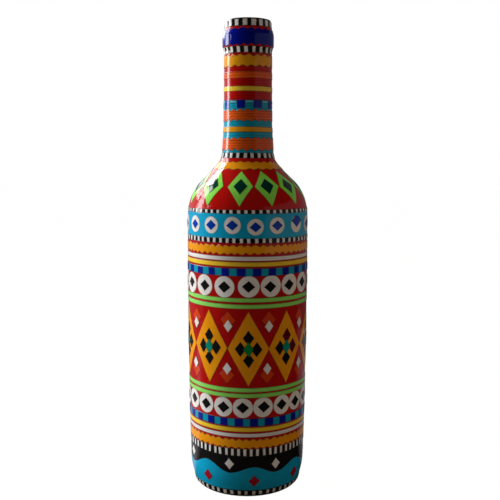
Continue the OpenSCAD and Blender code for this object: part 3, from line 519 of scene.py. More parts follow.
tapeColours = {
    "red": (184, 20, 18),
    "black": (27, 27, 27),
    "white": (240, 237, 234),
    "cobalt": (10, 30, 152),
    "teal": (18, 158, 188),
    "blue": (19, 170, 215),
    "amber": (245, 159, 20),
    "yellow": (250, 209, 56),
    "orange": (232, 94, 28),
    "gapOrange": (216, 66, 22),
    "green": (148, 230, 106),
    "darkGreen": (4, 60, 48),
    "leafGreen": (8, 148, 124),
    "crimson": (170, 28, 48),
}
c = tapeColours
ownFinishes = {  # tapes with a colour, an odd colour, rim dirt and painted shade, ridges, creases or seams of their own
    "white": (c["white"], {"Rim Dirt And Shade": 0.4}),
    "leafGreen": (c["leafGreen"], {"Odd Colour": (4, 140, 66)}),
    "crossBlack": (c["black"], {"Odd Colour": (92, 10, 34)}),
    "neckYellow": ((240, 202, 58), {"Ridges": 0.5}),
    "neckRed": ((192, 22, 18), {"Ridges": 1.0, "Seams": 0.9}),
    "neckTeal": (c["teal"], {"Odd Colour": (110, 205, 226), "Ridges": 1.0, "Seams": 0.6}),
    "neckOrange": (c["orange"], {"Ridges": 1.0, "Seams": 0.8}),
    "neckAmber": ((236, 161, 27), {"Ridges": 0.6, "Seams": 0.15}),
    "finishCobalt": ((8, 22, 150), {"Ridges": 1.0, "Seams": 0.8}),
    "discCobalt": ((8, 62, 180), {"Creases": 0.1}),
    "stripeWhite": (c["white"], {"Ridges": 0.6, "Seams": 0.4}),
    "shoulderRed": ((196, 22, 17), {"Ridges": 0.1, "Creases": 1.0}),
    "shoulderGreen": ((150, 244, 90), {"Creases": 0.9}),
    "shoulderDarkGreen": (c["darkGreen"], {"Creases": 0.9}),
    "shoulderAmber": (c["amber"], {"Creases": 0.5}),
}
allFinishes = {name: (colour, {}) for name, colour in c.items()} | ownFinishes
finishes = {name: vinyl(name + "Vinyl", *made) for name, made in allFinishes.items()}
print("vinyl finishes:", len(finishes))


# Ways of laying tape
gap = tapeWork["buttGap"]


def groundPile(lowZ, highZ):
    columns = columnsFor(float(radiusAt(runAt((lowZ + highZ) / 2))))
    pile = newPile()
    low = runAt(lowZ + wanderOf(lowZ, columns)) + gap / 2
    high = runAt(highZ + wanderOf(highZ, columns)) - gap / 2
    layBand(pile, low, high, 1, columns)
    return pile


def groundBand(node, lowZ, highZ, finish):
    return makePiece(node, groundPile(lowZ, highZ), finish)


def stripes(node, spans, finish, layer=2):
    pile = newPile()
    for lowZ, highZ in spans:
        columns = columnsFor(float(radiusAt(runAt(lowZ))))
        low = runAt(lowZ) + wanderOf(lowZ, columns)
        layBand(pile, low, runAt(highZ) + wanderOf(highZ, columns), layer, columns)
    return makePiece(node, pile, finish)


def stripe(node, topZ, width, finish):
    return stripes(node, [(topZ - width, topZ)], finish)


def pinked(u, slope=0.47):  # depth of a pinked edge along one tooth, notch at 0
    u = (u + 0.5) % 1 - 0.5
    return np.maximum(0, 1 - np.abs(u) / slope)


def scalloped(u):
    return 1 - np.abs(np.sin(np.pi * u))


def toothedStrip(node, topZ, tape, finish, edge=pinked, marksPerTooth=2):
    width, depth, teeth, turn, slip = (tape[key] for key in ("width", "depth", "teeth", "turn", "slip"))
    pitch = 360 / teeth
    r = float(radiusAt(runAt(topZ - width / 2)))
    dice = random.Random(node)
    cut = [[dice.gauss(0, tapeWork["toothShift"]) for _ in range(teeth)] for _ in range(2)]
    deep = [[1 + dice.gauss(0, tapeWork["toothDepth"]) for _ in range(teeth)] for _ in range(2)]
    marks = []
    for side, shift in enumerate((0, slip)):
        for k in range(-teeth, teeth):
            for part in range(marksPerTooth):
                marks.append(turn + (k + shift + part / marksPerTooth + cut[side][k % teeth]) * pitch)
    seam = turn + (teeth // 2 + 0.5) * pitch
    columns = columnsFor(r, marks, seam=seam if seam > 90 else seam + 360)

    def dip(side, shift):
        u = (columns - turn) / pitch - shift
        k = np.floor(u + 0.5).astype(int) % teeth
        u = u - np.array(cut[side])[k]
        return depth * edge(u) * np.array(deep[side])[k]

    high = runAt(topZ) + wanderOf(topZ, columns) - dip(0, 0)
    low = runAt(topZ - width) + wanderOf(topZ - width, columns) + dip(1, slip)
    pile = newPile()
    layBand(pile, low, high, 2, columns)
    return makePiece(node, pile, finish)


def rectangle(width, height):
    return np.array([(-width, -height), (width, -height), (width, height), (-width, height)]) / 2


def diamondShape(width, height):
    return np.array([(-width / 2, 0), (0, -height / 2), (width / 2, 0), (0, height / 2)])


def discShape(d, sides=36):
    a = 2 * np.pi * np.arange(sides) / sides
    return np.stack([np.cos(a), np.sin(a)], 1) * d / 2


def allRound(ring):  # angles of all the pieces, even all round, or even behind the ones seen in front
    count = ring["count"]
    if "turn" in ring:
        return [ring["turn"] + k * 360 / count for k in range(count)]
    seen = ring["front"]
    rest = count - len(seen)
    step = (seen[0] + 360 - seen[-1]) / (rest + 1)
    return list(seen) + [seen[-1] + step * (i + 1) for i in range(rest)]


def placesFor(ring, behindZ):  # angles and heights, with one height for those behind
    heights = list(ring["frontZ"])
    return list(zip(allRound(ring), heights + [behindZ] * (ring["count"] - len(heights))))


def strayed(dice, amount=1.0):
    w = tapeWork
    return {"twist": dice.gauss(0, w["twist"] * amount), "across": dice.gauss(0, w["shift"] * amount),
            "up": dice.gauss(0, w["shift"] * amount)}


def checkRing(node, lowZ, highZ, ring, finish, layer=2, snug=True):
    w = tapeWork
    dice = random.Random(node)
    low, high = float(runAt(lowZ)), float(runAt(highZ))
    pile = newPile()
    for theta in allRound(ring):
        shape = rectangle(ring["width"] * (1 + dice.gauss(0, w["checkSpread"])), high - low)
        shape[:2, 0] += dice.gauss(0, w["checkSkew"])
        shape[2:, 0] += dice.gauss(0, w["checkSkew"])
        if snug:
            shape[:2, 1] += wanderOf(lowZ, theta)
            shape[2:, 1] += wanderOf(highZ, theta)
        stray, rise = dice.gauss(0, w["checkStray"]), dice.gauss(0, w["checkRise"])
        layPiece(pile, shape, theta, (low + high) / 2, layer, across=stray, up=rise)
    return makePiece(node, pile, finish)


def checkedWrap(name, lowZ, highZ, ring):
    groundBand(name + "_wrap_black", lowZ, highZ, "black")
    checkRing(name + "_checks_white", lowZ + gap, highZ - gap, ring, "white")


def cutToDisc(corners, across, up, reach):  # the part of a piece that lies on a disc below it
    count = 40
    for k in range(count):
        a = 2 * math.pi * (k + 0.5) / count
        out = np.array([math.cos(a), math.sin(a)])
        depth = reach - (corners + (across, up)) @ out
        kept = []
        for i in range(len(corners)):
            p, q, dp, dq = corners[i], corners[i - 1], depth[i], depth[i - 1]
            if dp * dq < 0:
                kept.append(p + (q - p) * dp / (dp - dq))
            if dp >= 0:
                kept.append(p)
        corners = np.array(kept)
    return corners


def pieceRing(node, places, shape, layer, finish, lean=0.0, amount=1.0, odd=None):
    dice = random.Random(node)
    pile = newPile()
    for i, (theta, z) in enumerate(places):
        move = strayed(dice, amount)
        move["twist"] += lean
        cut = shape * (1 + dice.gauss(0, tapeWork["sizeSpread"]))
        change = dict((odd or {}).get(i, {}))
        pile["odd"] = change.pop("tone", 0.0)
        if "within" in change:
            cut = cutToDisc(shape * change.pop("size"), change["across"], change["up"], change.pop("within"))
        move.update(change)
        layPiece(pile, cut, theta, float(runAt(z)), layer, **move)
    return makePiece(node, pile, finish)


# Finish
lipTape = {"wrapWidth": 5.3, "checkHeight": 3.8, "checkLift": 0.3,
           "checks": {"count": 18, "width": 2.5, "front": (-67, -47.5, -28, -7, 13.5, 32.5, 51.5)},
           "groundWidth": 12.2, "cobaltDrop": 1.1,
           "cobalt": {"width": 10.5, "depth": 1.3, "teeth": 19, "turn": -4.5, "slip": -0.2}}
footZ = glassShape["bodyHeight"] + glassShape["shoulderHeight"]
mouthZ = footZ + glassShape["neckHeight"] + glassShape["finishHeight"]
lipWrapZ = mouthZ - lipTape["wrapWidth"]
finishGroundZ = lipWrapZ - lipTape["groundWidth"]
lipColumns = columnsFor(glassShape["lipRadius"])
lipPile = newPile()
lipLow = runAt(lipWrapZ + wanderOf(lipWrapZ, lipColumns)) + gap / 2
layBand(lipPile, lipLow, np.full(len(lipColumns), mouthRun), 1, lipColumns)
makePiece("rim_wrap_black", lipPile, "black")
checkZ = lipWrapZ + lipTape["checkLift"]
checkRing("rim_checks_white", checkZ, checkZ + lipTape["checkHeight"], lipTape["checks"], "white", snug=False)
groundBand("finish_ground_red", finishGroundZ, lipWrapZ, "red")
toothedStrip("finish_strip_cobalt", lipWrapZ - lipTape["cobaltDrop"], lipTape["cobalt"], "finishCobalt")
print("finish dressed")

# Neck
neckTape = {"collarWidth": 3.9,
            "collarChecks": {"count": 20, "width": 1.95, "front": (-58, -41, -23, -4.7, 13.7, 31.7, 50)},
            "amberDrop": 0.9, "amber": {"width": 7.7, "depth": 1.3, "teeth": 18, "turn": -7.6, "slip": -0.28},
            "orangeDrop": 2.9, "orangeWidth": 4.1, "yellowDrop": 4.9, "yellowWidth": 2.9,
            "footRise": 4.5, "footWidth": 3.3, "tealWidth": 32.9,
            "cobaltHeight": 4.9,
            "cobaltChecks": {"count": 9, "width": 5.1, "front": (-58, -16.5, 24.2, 64.5)},
            "slipWidth": 5.1, "slipHeight": 1.2, "slipDrop": 1.0,
            "upperDrop": 1.0, "upper": {"width": 7.1, "depth": 1.3, "teeth": 20, "turn": -9.2, "slip": 0.45},
            "amberStripeDrop": 3.8, "amberStripeWidth": 3.0,
            "lowerDrop": 3.5, "lower": {"width": 8.1, "depth": 1.3, "teeth": 20, "turn": -8.0, "slip": -0.22},
            "footChecks": {"count": 23, "width": 1.9, "front": (-37.5, -21.5, -5.8, 9.2, 24.5, 40, 55.3)}}
n = neckTape
collarZ = finishGroundZ - n["collarWidth"]
neckAmberTop = collarZ - n["amberDrop"]
neckOrangeTop = neckAmberTop - n["amber"]["width"] - n["orangeDrop"]
neckYellowTop = neckOrangeTop - n["orangeWidth"] - n["yellowDrop"]
footWrapTop = footZ + n["footRise"]
footWrapZ = footWrapTop - n["footWidth"]
tealTop = footWrapTop + n["tealWidth"]
upperOrangeTop = tealTop - n["cobaltHeight"] - n["upperDrop"]
amberStripeTop = upperOrangeTop - n["upper"]["width"] - n["amberStripeDrop"]
lowerOrangeTop = amberStripeTop - n["amberStripeWidth"] - n["lowerDrop"]

checkedWrap("collar", collarZ, finishGroundZ, n["collarChecks"])
groundBand("neck_ground_red", tealTop, collarZ, "neckRed")
toothedStrip("neck_strip_amber", neckAmberTop, n["amber"], "neckAmber")
stripe("neck_stripe_orange", neckOrangeTop, n["orangeWidth"], "neckOrange")
stripe("neck_stripe_yellow", neckYellowTop, n["yellowWidth"], "neckYellow")


def tealGround(node, checks):  # with a paler slip at the top between each two cobalt checks
    pile = groundPile(footWrapTop, tealTop)
    pile["odd"] = 1.0
    slip = rectangle(n["slipWidth"], n["slipHeight"])
    for a, b in zip(checks, checks[1:] + [checks[0] + 360]):
        layPiece(pile, slip, (a + b) / 2, float(runAt(tealTop - n["slipDrop"])), 2)
    return makePiece(node, pile, "neckTeal")


tealGround("neck_ground_teal", allRound(n["cobaltChecks"]))
checkRing("neck_checks_cobalt", tealTop - n["cobaltHeight"], tealTop - gap, n["cobaltChecks"], "cobalt")
toothedStrip("neck_strip_orange_upper", upperOrangeTop, n["upper"], "neckOrange", scalloped, marksPerTooth=8)
stripe("neck_stripe_amber", amberStripeTop, n["amberStripeWidth"], "neckAmber")
toothedStrip("neck_strip_orange_lower", lowerOrangeTop, n["lower"], "neckOrange", scalloped, marksPerTooth=8)
checkedWrap("neck_foot", footWrapZ, footWrapTop, n["footChecks"])
print("neck dressed")

# Shoulder and blue band
shoulderTape = {"amberDrop": 2.0,
                "amber": {"width": 5.2, "depth": 1.1, "teeth": 23, "turn": -6.9, "slip": 0.48},
                "spaceUp": 0.9, "spaceDown": 2.1, "diamondWidth": 15.5, "lean": 3.0,
                "diamonds": {"count": 12, "front": (-72, -41.8, -8, 22, 51, 80)},
                "darkWidth": 8.4, "darkDrop": 4.7, "darkRise": 7.2, "wrapDrop": 7.2, "wrapWidth": 2.3,
                "checks": {"count": 54, "width": 1.75, "turn": 5.4}, "blueWidth": 14.9, "discSize": 10.3,
                "discs": {"count": 16, "front": (-80, -57.2, -35, -13.5, 7.3, 27.8, 51.2, 73.5),
                          "frontZ": (173, 173.2, 173.3, 173.5, 172.5, 173.2, 173.5, 173)},
                "cobaltWidth": 7.1, "cobaltHeight": 6.0,
                "slipped": {"size": 1.36, "across": 0.2, "up": 2.2, "twist": -1}, "slippedDisc": 6,
                "waistWidth": 2.9, "waistChecks": {"count": 54, "width": 1.75, "turn": 1.5}}
t = shoulderTape
shoulderAmberTop = footWrapZ - t["amberDrop"]
shoulderWrapTop = glassShape["bodyHeight"] - t["wrapDrop"]
shoulderWrapZ = shoulderWrapTop - t["wrapWidth"]
diamondTop = shoulderAmberTop - t["amber"]["width"] - t["spaceUp"]
diamondFoot = shoulderWrapTop + t["spaceDown"]
blueZ = shoulderWrapZ - t["blueWidth"]
blueDiscZ = (shoulderWrapZ + blueZ) / 2
waistZ = blueZ - t["waistWidth"]


def tallDiamonds(node, footZ, topZ, width, layer, finish):
    low, high = float(runAt(footZ)), float(runAt(topZ))
    middleZ = float(heightAt((low + high) / 2))
    places = [(a, middleZ) for a in allRound(t["diamonds"])]
    pieceRing(node, places, diamondShape(width, high - low), layer, finish, lean=t["lean"])


groundBand("shoulder_ground_red", shoulderWrapTop, footWrapZ, "shoulderRed")
toothedStrip("shoulder_strip_amber", shoulderAmberTop, t["amber"], "shoulderAmber")
tallDiamonds("shoulder_diamonds_green", diamondFoot, diamondTop, t["diamondWidth"], 2, "shoulderGreen")
tallDiamonds("shoulder_diamonds_dark", diamondFoot + t["darkRise"], diamondTop - t["darkDrop"],
             t["darkWidth"], 3, "shoulderDarkGreen")
checkedWrap("shoulder", shoulderWrapZ, shoulderWrapTop, t["checks"])
groundBand("disc_band_blue", blueZ, shoulderWrapZ, "blue")
bluePlaces = placesFor(t["discs"], blueDiscZ)
pieceRing("disc_band_discs_white", bluePlaces, discShape(t["discSize"]), 2, "white", amount=0.3)
tooBig = {t["slippedDisc"]: {**t["slipped"], "within": t["discSize"] / 2}}  # one diamond overhung its disc
pieceRing("disc_band_diamonds_cobalt", bluePlaces, diamondShape(t["cobaltWidth"], t["cobaltHeight"]), 3,
          "discCobalt", amount=0.6, odd=tooBig)
checkedWrap("waist", waistZ, blueZ, t["waistChecks"])
print("shoulder dressed")

# Body
bodyTape = {"baseTop": 33.45, "amberDrop": 1.1,
            "amber": {"width": 6.0, "depth": 1.3, "teeth": 52, "turn": 4.3, "slip": 0.25},
            "lowerAmber": {"width": 6.7, "depth": 1.3, "teeth": 53, "turn": 2.6, "slip": 0.5},
            "space": 1.15, "whiteWidth": 2.3, "yellowWidth": 2.6, "tealWidth": 4.6,
            "upperChecks": {"count": 25, "width": 4.9, "turn": 8.6},
            "lowerChecks": {"count": 25, "width": 4.9, "turn": 6.8},
            "discSides": 44, "upperSpace": 0.3, "upperSize": 13.1, "lowerSpace": 0.55, "lowerSize": 12.4,
            "upperDiscs": {"count": 17, "front": (-85, -65, -43.6, -21.6, 1.4, 22, 42.4, 62.5, 83),
                           "frontZ": (135.7, 135.7, 135.7, 135.7, 136.2, 136.2, 136.4, 136.3, 136)},
            "lowerDiscs": {"count": 19, "front": (-82, -62.5, -43, -23.2, -4, 15.4, 34.9, 53, 72),
                           "frontZ": (60, 60.4, 60.4, 60, 60, 60.2, 60.4, 60.7, 60.8)},
            "blackWidth": 7.8, "blackHeight": 7.0, "greenWidth": 2.5, "greenSpace": 1.3,
            "lozengeSpace": 2.6, "lozengeFootSpace": 0.95, "lowerAmberDrop": 0.9,
            "lozenges": {"count": 9, "front": (-75.5, -37.6, 1.2, 39, 77),
                         "frontZ": (97.6, 97.6, 97.2, 97.2, 97.2)},
            "greenCentre": 2, "maroonLozenge": 3,
            "lozengeWidth": 25.7, "crossWidth": 6.6, "crossShare": 0.2, "crossRiseShare": 0.15,
            "crossReach": 5.0, "centreWidth": 6.0, "centreShare": 0.198,
            "gapOrangeWidth": 9.4, "gapOrangeShare": 0.224, "gapUpShare": 0.038, "gapDownShare": 0.05,
            "gapWhiteWidth": 5.4, "gapWhiteShare": 0.67, "gapShiftShare": 0.36,
            "upGaps": {"count": 9, "front": (-92, -55, -17.5, 19.8, 57.5, 97)},
            "downGaps": {"count": 9, "front": (-94, -57, -18.7, 19, 57.8, 97)}}
b = bodyTape
upperAmberTop = waistZ - b["amberDrop"]
upperWhiteTop = upperAmberTop - b["amber"]["width"] - b["space"]
upperYellowTop = upperWhiteTop - b["whiteWidth"] - b["space"]
upperRingTop = upperYellowTop - b["yellowWidth"] - b["space"]
upperRingZ = upperRingTop - b["tealWidth"]
upperDiscZ = upperRingZ - b["upperSpace"] - b["upperSize"] / 2
upperGreenTop = upperDiscZ - b["upperSize"] / 2 - b["upperSpace"]
upperGreenZ = upperGreenTop - 2 * b["greenWidth"] - b["greenSpace"]
lowerAmberZ = b["baseTop"] + gap
lowerAmberTop = lowerAmberZ + b["lowerAmber"]["width"]
lowerWhiteZ = lowerAmberTop + b["lowerAmberDrop"]
lowerYellowZ = lowerWhiteZ + b["whiteWidth"] + b["space"]
lowerRingZ = lowerYellowZ + b["yellowWidth"] + b["space"]
lowerRingTop = lowerRingZ + b["tealWidth"]
lowerDiscZ = lowerRingTop + b["lowerSpace"] + b["lowerSize"] / 2
lowerGreenZ = lowerDiscZ + b["lowerSize"] / 2 + b["lowerSpace"]
lowerGreenTop = lowerGreenZ + 2 * b["greenWidth"] + b["greenSpace"]
lozengeTop = upperGreenZ - b["lozengeSpace"]
lozengeFoot = lowerGreenTop + b["lozengeFootSpace"]
lozengeHeight = lozengeTop - lozengeFoot
lozengeZ = (lozengeTop + lozengeFoot) / 2
lozengeRadius = float(radiusAt(runAt(lozengeZ)))
panelHeight = upperGreenZ - lowerGreenTop
gapOrangeHeight = panelHeight * b["gapOrangeShare"]
gapWhiteHeight = gapOrangeHeight * b["gapWhiteShare"]
gapShift = gapOrangeHeight * b["gapShiftShare"]
gapUpZ = upperGreenZ - panelHeight * b["gapUpShare"] - gapOrangeHeight / 2
gapDownZ = lowerGreenTop + panelHeight * b["gapDownShare"] + gapOrangeHeight / 2


def tealRing(name, lowZ, highZ):
    stripes(name + "_ring_teal", [(lowZ, highZ)], "teal")
    checkRing(name + "_checks_cobalt", lowZ, highZ, b[name + "Checks"], "cobalt", layer=3)


def discRing(name, middleZ):
    disc = discShape(b[name + "Size"], b["discSides"])
    diamond = diamondShape(b["blackWidth"], b["blackHeight"])
    places = placesFor(b[name + "Discs"], middleZ)
    pieceRing(name + "_discs_white", places, disc, 2, "white", amount=0.3)
    pieceRing(name + "_diamonds_black", places, diamond, 3, "black", amount=1.8)


def greenPair(name, lowZ, highZ):
    spans = [(lowZ, lowZ + b["greenWidth"]), (highZ - b["greenWidth"], highZ)]
    stripes(name + "_stripes_green", spans, "green")


groundBand("body_ground_red", b["baseTop"], waistZ, "red")
toothedStrip("upper_strip_amber", upperAmberTop, b["amber"], "amber")
stripe("upper_stripe_white", upperWhiteTop, b["whiteWidth"], "stripeWhite")
stripe("upper_stripe_yellow", upperYellowTop, b["yellowWidth"], "yellow")
tealRing("upper", upperRingZ, upperRingTop)
discRing("upper", upperDiscZ)
greenPair("upper", upperGreenZ, upperGreenTop)
lozengePlaces = placesFor(b["lozenges"], lozengeZ)
pieceRing("lozenges_amber", lozengePlaces, diamondShape(b["lozengeWidth"], lozengeHeight), 2, "amber",
          amount=0.2)
sideTurn = math.degrees(b["crossReach"] / lozengeRadius)
rise = lozengeHeight * b["crossRiseShare"]
crossPlaces = [(a + turn, z + up) for a, z in lozengePlaces
               for turn, up in ((0, -rise), (0, rise), (-sideTurn, 0), (sideTurn, 0))]
maroon = {4 * b["maroonLozenge"] + part: {"tone": 1.0} for part in (1, 3)}  # the upper and the right one
pieceRing("lozenge_crosses_black", crossPlaces,
          diamondShape(b["crossWidth"], lozengeHeight * b["crossShare"]), 3, "crossBlack", odd=maroon)
pieceRing("lozenge_centres_green", lozengePlaces,
          diamondShape(b["centreWidth"], lozengeHeight * b["centreShare"]), 4, "leafGreen",
          odd={b["greenCentre"]: {"tone": 1.0}})
upGaps, downGaps = allRound(b["upGaps"]), allRound(b["downGaps"])
orangePlaces = [(a, gapUpZ) for a in upGaps] + [(a, gapDownZ) for a in downGaps]
whitePlaces = [(a, gapUpZ - gapShift) for a in upGaps] + [(a, gapDownZ + gapShift) for a in downGaps]
pieceRing("gap_diamonds_orange", orangePlaces, diamondShape(b["gapOrangeWidth"], gapOrangeHeight), 2,
          "gapOrange")
pieceRing("gap_diamonds_white", whitePlaces, diamondShape(b["gapWhiteWidth"], gapWhiteHeight), 3, "white",
          amount=1.5)
greenPair("lower", lowerGreenZ, lowerGreenTop)
discRing("lower", lowerDiscZ)
tealRing("lower", lowerRingZ, lowerRingTop)
stripes("lower_stripe_yellow", [(lowerYellowZ, lowerYellowZ + b["yellowWidth"])], "yellow")
stripes("lower_stripe_white", [(lowerWhiteZ, lowerWhiteZ + b["whiteWidth"])], "stripeWhite")
toothedStrip("lower_strip_amber", lowerAmberTop, b["lowerAmber"], "amber")
print("body dressed")

# Base
baseTape = {"barHeight": 4.2, "bars": {"count": 59, "width": 1.6, "turn": 4.3},
            "crests": {"count": 7, "front": (-42, 7.2, 55.2), "frontZ": (23.6, 21.6, 22.1), "behindZ": 22},
            "troughs": {"count": 7, "front": (-68, -17.2, 29.3, 79), "frontZ": (17.9, 17.6, 17.1, 17.5),
                        "behindZ": 17.3},
            "white": {"width": 6.0, "height": 7.1, "frontZ": (24.4, 23.5, 22.6, 23), "behindZ": 22.9},
            "red": {"width": 7.3, "height": 7.6, "frontZ": (12.8, 12.1, 12.3), "behindZ": 12.2},
            "heelTop": 5.7, "heelFoot": 0.5, "heelCheckHeight": 2.6, "heelCheckDrop": 0.5,
            "heelChecks": {"count": 47, "width": 1.9, "turn": 7.0}}
s = baseTape
waveRings = (s["crests"], s["troughs"])
waveMarks = sorted((a % 360, z) for ring in waveRings for a, z in placesFor(ring, ring["behindZ"]))


def waveAt(theta):  # height of the cut wave, from its crests and troughs
    angles, heights = np.array(waveMarks).T
    theta = theta % 360
    after = np.searchsorted(angles, theta) % len(angles)
    before = after - 1
    share = ((theta - angles[before]) % 360) / ((angles[after] - angles[before]) % 360)
    return heights[before] + (heights[after] - heights[before]) * (1 - np.cos(np.pi * share)) / 2


def baseBand(node, lowZ, highZ, finish):
    low, high = (runAt(z + 0 * baseColumns) for z in (lowZ, highZ))
    pile = newPile()
    layBand(pile, low + gap / 2, high - gap / 2, 1, baseColumns)
    return makePiece(node, pile, finish)


baseColumns = columnsFor(glassShape["bodyRadius"])
wave = waveAt(baseColumns)
baseBand("base_band_black", wave, b["baseTop"] + wanderOf(b["baseTop"], baseColumns), "black")
baseBand("base_band_blue", s["heelTop"], wave, "blue")
checkRing("base_bars_white", b["baseTop"] - s["barHeight"], b["baseTop"] - gap, s["bars"], "white")
for colour, ring, finish in (("white", s["troughs"], "white"), ("red", s["crests"], "crimson")):
    cut = {**ring, **s[colour]}
    places, shape = placesFor(cut, cut["behindZ"]), diamondShape(cut["width"], cut["height"])
    pieceRing("base_diamonds_" + colour, places, shape, 2, finish)
baseBand("heel_wrap_black", s["heelFoot"], s["heelTop"], "black")
heelCheckTop = s["heelTop"] - s["heelCheckDrop"]
checkRing("heel_checks_white", heelCheckTop - s["heelCheckHeight"], heelCheckTop, s["heelChecks"], "white",
          snug=False)
print("base dressed")


# Glass
glassLook = {"tints": ((0.3, 0.5, 0.24, 1), (0.38, 0.56, 0.3, 1)), "rippleScale": 60, "rippleDepth": 0.0001,
             "roughness": 0.03, "ior": 1.52}


def greenGlass(look):
    material, tree = newMaterial("greenBottleGlass")
    shader = tree.nodes["Principled BSDF"]
    body = addNode(tree, "TexCoord").outputs["Object"]
    ripple = addNode(tree, "TexNoise", {"Scale": look["rippleScale"], "Vector": body}).outputs["Fac"]
    bump = addNode(tree, "Bump", {"Distance": look["rippleDepth"], "Height": ripple})
    deep, pale = look["tints"]
    tint = addNode(tree, "Mix", {"A": deep, "B": pale, "Factor": ripple}, data_type="RGBA")
    tree.links.new(bump.outputs["Normal"], shader.inputs["Normal"])
    tree.links.new(tint.outputs["Result"], shader.inputs["Base Color"])
    shader.inputs["Roughness"].default_value = look["roughness"]
    shader.inputs["Transmission Weight"].default_value = 1.0
    shader.inputs["IOR"].default_value = look["ior"]
    return material


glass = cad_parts["glass_bottle"]
if not glass.material_slots:
    glass.data.materials.append(None)
for part in glass.material_slots:
    part.material = greenGlass(glassLook)
print("glass finished")

# Camera, at the height of the neck's foot and looking a little down
cameraSetup = {"place": (0.0014, -0.51899, 0.21258), "tilt": 83.6, "roll": -0.16, "lens": 57.53, "sensor": 36,
               "farthest": 20}
camera = inScene("camera", bpy.data.cameras.new("camera"))
camera.location = cameraSetup["place"]
camera.rotation_euler = (math.radians(cameraSetup["tilt"]), math.radians(cameraSetup["roll"]), 0)
camera.data.lens = cameraSetup["lens"]
camera.data.sensor_width = cameraSetup["sensor"]
camera.data.clip_end = cameraSetup["farthest"]
bpy.context.scene.camera = camera

# Studio: pale floor and backdrop. A window to the left lights the bottle, and dark cards stand round the
# rest, so that the tape mirrors a dim room as in the photograph.
studio = {"roomLight": 0.035, "roomTint": (1.0, 0.8, 0.64), "floorColour": (0.3, 0.235, 0.175),
          "floorGlow": 0.93, "floorWhite": 1.071, "floorSize": 6.0, "reach": 1.0, "cardReach": 1.3,
          "cardStep": 4.0, "cardTint": (0.95, 0.92, 1), "cardLift": 0.0006, "ceiling": 3.0,
          "ceilingLevel": 0.002}
panes = {  # azimuth from, to; height from, to; brightness
    "tallPane": (-113, -100, 0.205, 0.58, 7.5),
    "leftFlank": (-118.5, -113, 0.205, 0.415, 2.2),
    "rightFlank": (-100, -96, 0.205, 0.415, 2.2),
    "sidePane": (-148, -139, 0.425, 0.455, 1.6),
    "narrowPane": (-85, -80.5, 0.42, 0.52, 5.0),
    "skyPaneA": (-116.5, -101, 0.60, 1.1, 8.0),
    "skyPaneB": (-129, -121, 0.90, 1.2, 13.0),
    "skyPaneBLow": (-127, -119.5, 0.46, 0.86, 7.0),
    "skyPaneC": (-143, -138, 0.46, 1.15, 7.0),
    "skyPaneE": (-138, -129, 0.80, 1.15, 12.0),
    "skyPaneELow": (-138, -129, 0.46, 0.80, 5.0),
    "skyPaneD": (-164, -145, 0.44, 0.8, 2.6),
}
softLamps = {  # azimuth, distance, height, turn about x and z, size, brightness, tint; these aren't mirrored
    "softKey": (-98, 1.0, 0.45, (90, -98), 0.7, 5.8, (1, 1, 1)),
    "softFill": (75, 1.0, 0.3, (90, 75), 0.8, 1.05, (1.0, 0.86, 0.74)),
    "topLamp": (-90, 0.3, 1.15, (0, 0), 0.6, 1.8, (1, 1, 1)),
    "bounceLamp": (-55, 0.24, 0.003, (180, 0), 0.3, 0.55, (0.82, 0.93, 1.0)),  # light off the table
}
cards = {  # azimuth from, to; height from, to; brightness mirrored in the tape
    "darkCard": (-89, 33, -0.2, 3.0, 0.002),
    "dimCard": (33, 115, -0.2, 0.72, 0.14),
    "darkCardRight": (33, 115, 0.72, 3.0, 0.002),
    "dimCardRight": (115, 172, -0.2, 1.3, 0.14),
    "darkCardBack": (115, 172, 1.3, 3.0, 0.002),
    "paleCard": (-188, -89, 0.2, 1.25, 0.5),
    "highPaleCard": (-188, -89, 1.25, 3.0, 0.04),
    "lowPaleCard": (-188, -89, -0.2, 0.2, 0.14),
}
tableCards = {  # the same, laid on the floor: azimuth from, to; distance from, to; brightness
    "darkTable": (-92, 108, 0.0, 1.3, 0.002),
    "rightTableA": (108, 120, 0.0, 0.5, 0.12),
    "rightTableB": (120, 134, 0.0, 0.5, 0.2),
    "rightTable": (134, 188, 0.0, 0.5, 0.28),
    "rightTableFar": (108, 188, 0.5, 1.3, 0.05),
    "nearSill": (-172, -118, 0.0, 0.22, 0.35),
    "sillGap": (-118, -111, 0.0, 0.22, 0.3),
    "sillStreak": (-111, -99, 0.0, 0.4, 0.5),
    "sillEnd": (-99, -92, 0.0, 0.22, 0.2),
    "farSill": (-172, -111, 0.22, 1.3, 0.12),
    "farStreak": (-111, -99, 0.4, 1.3, 0.12),
    "farEnd": (-99, -92, 0.22, 1.3, 0.12),
}


def place(azimuth, reach, z):
    a = math.radians(azimuth)
    return (reach * math.sin(a), -reach * math.cos(a), z)


def seenWhite(tree):  # 1 for the rays that see or mirror the background
    paths = addNode(tree, "LightPath").outputs
    seen = paths["Is Camera Ray"]
    for ray in ("Is Glossy Ray", "Is Transmission Ray"):
        seen = addNode(tree, "Math", {0: seen, 1: paths[ray]}, operation="MAXIMUM").outputs[0]
    return seen


world = bpy.data.worlds.new("softRoom")
bpy.context.scene.world = world
world.use_nodes = True
roomTree = world.node_tree
room = roomTree.nodes["Background"]
room.inputs["Color"].default_value = (*studio["roomTint"], 1)
room.inputs["Strength"].default_value = studio["roomLight"]
backdrop = addNode(roomTree, "Background", {"Color": (1, 1, 1, 1)})
sides = {0: seenWhite(roomTree), 1: room.outputs[0], 2: backdrop.outputs[0]}
roomBlend = addNode(roomTree, "MixShader", sides)
roomTree.links.new(roomBlend.outputs[0], roomTree.nodes["World Output"].inputs["Surface"])


def bareMaterial(name):
    material, tree = newMaterial(name)
    tree.nodes.remove(tree.nodes["Principled BSDF"])
    return material, tree, tree.nodes["Material Output"].inputs["Surface"]


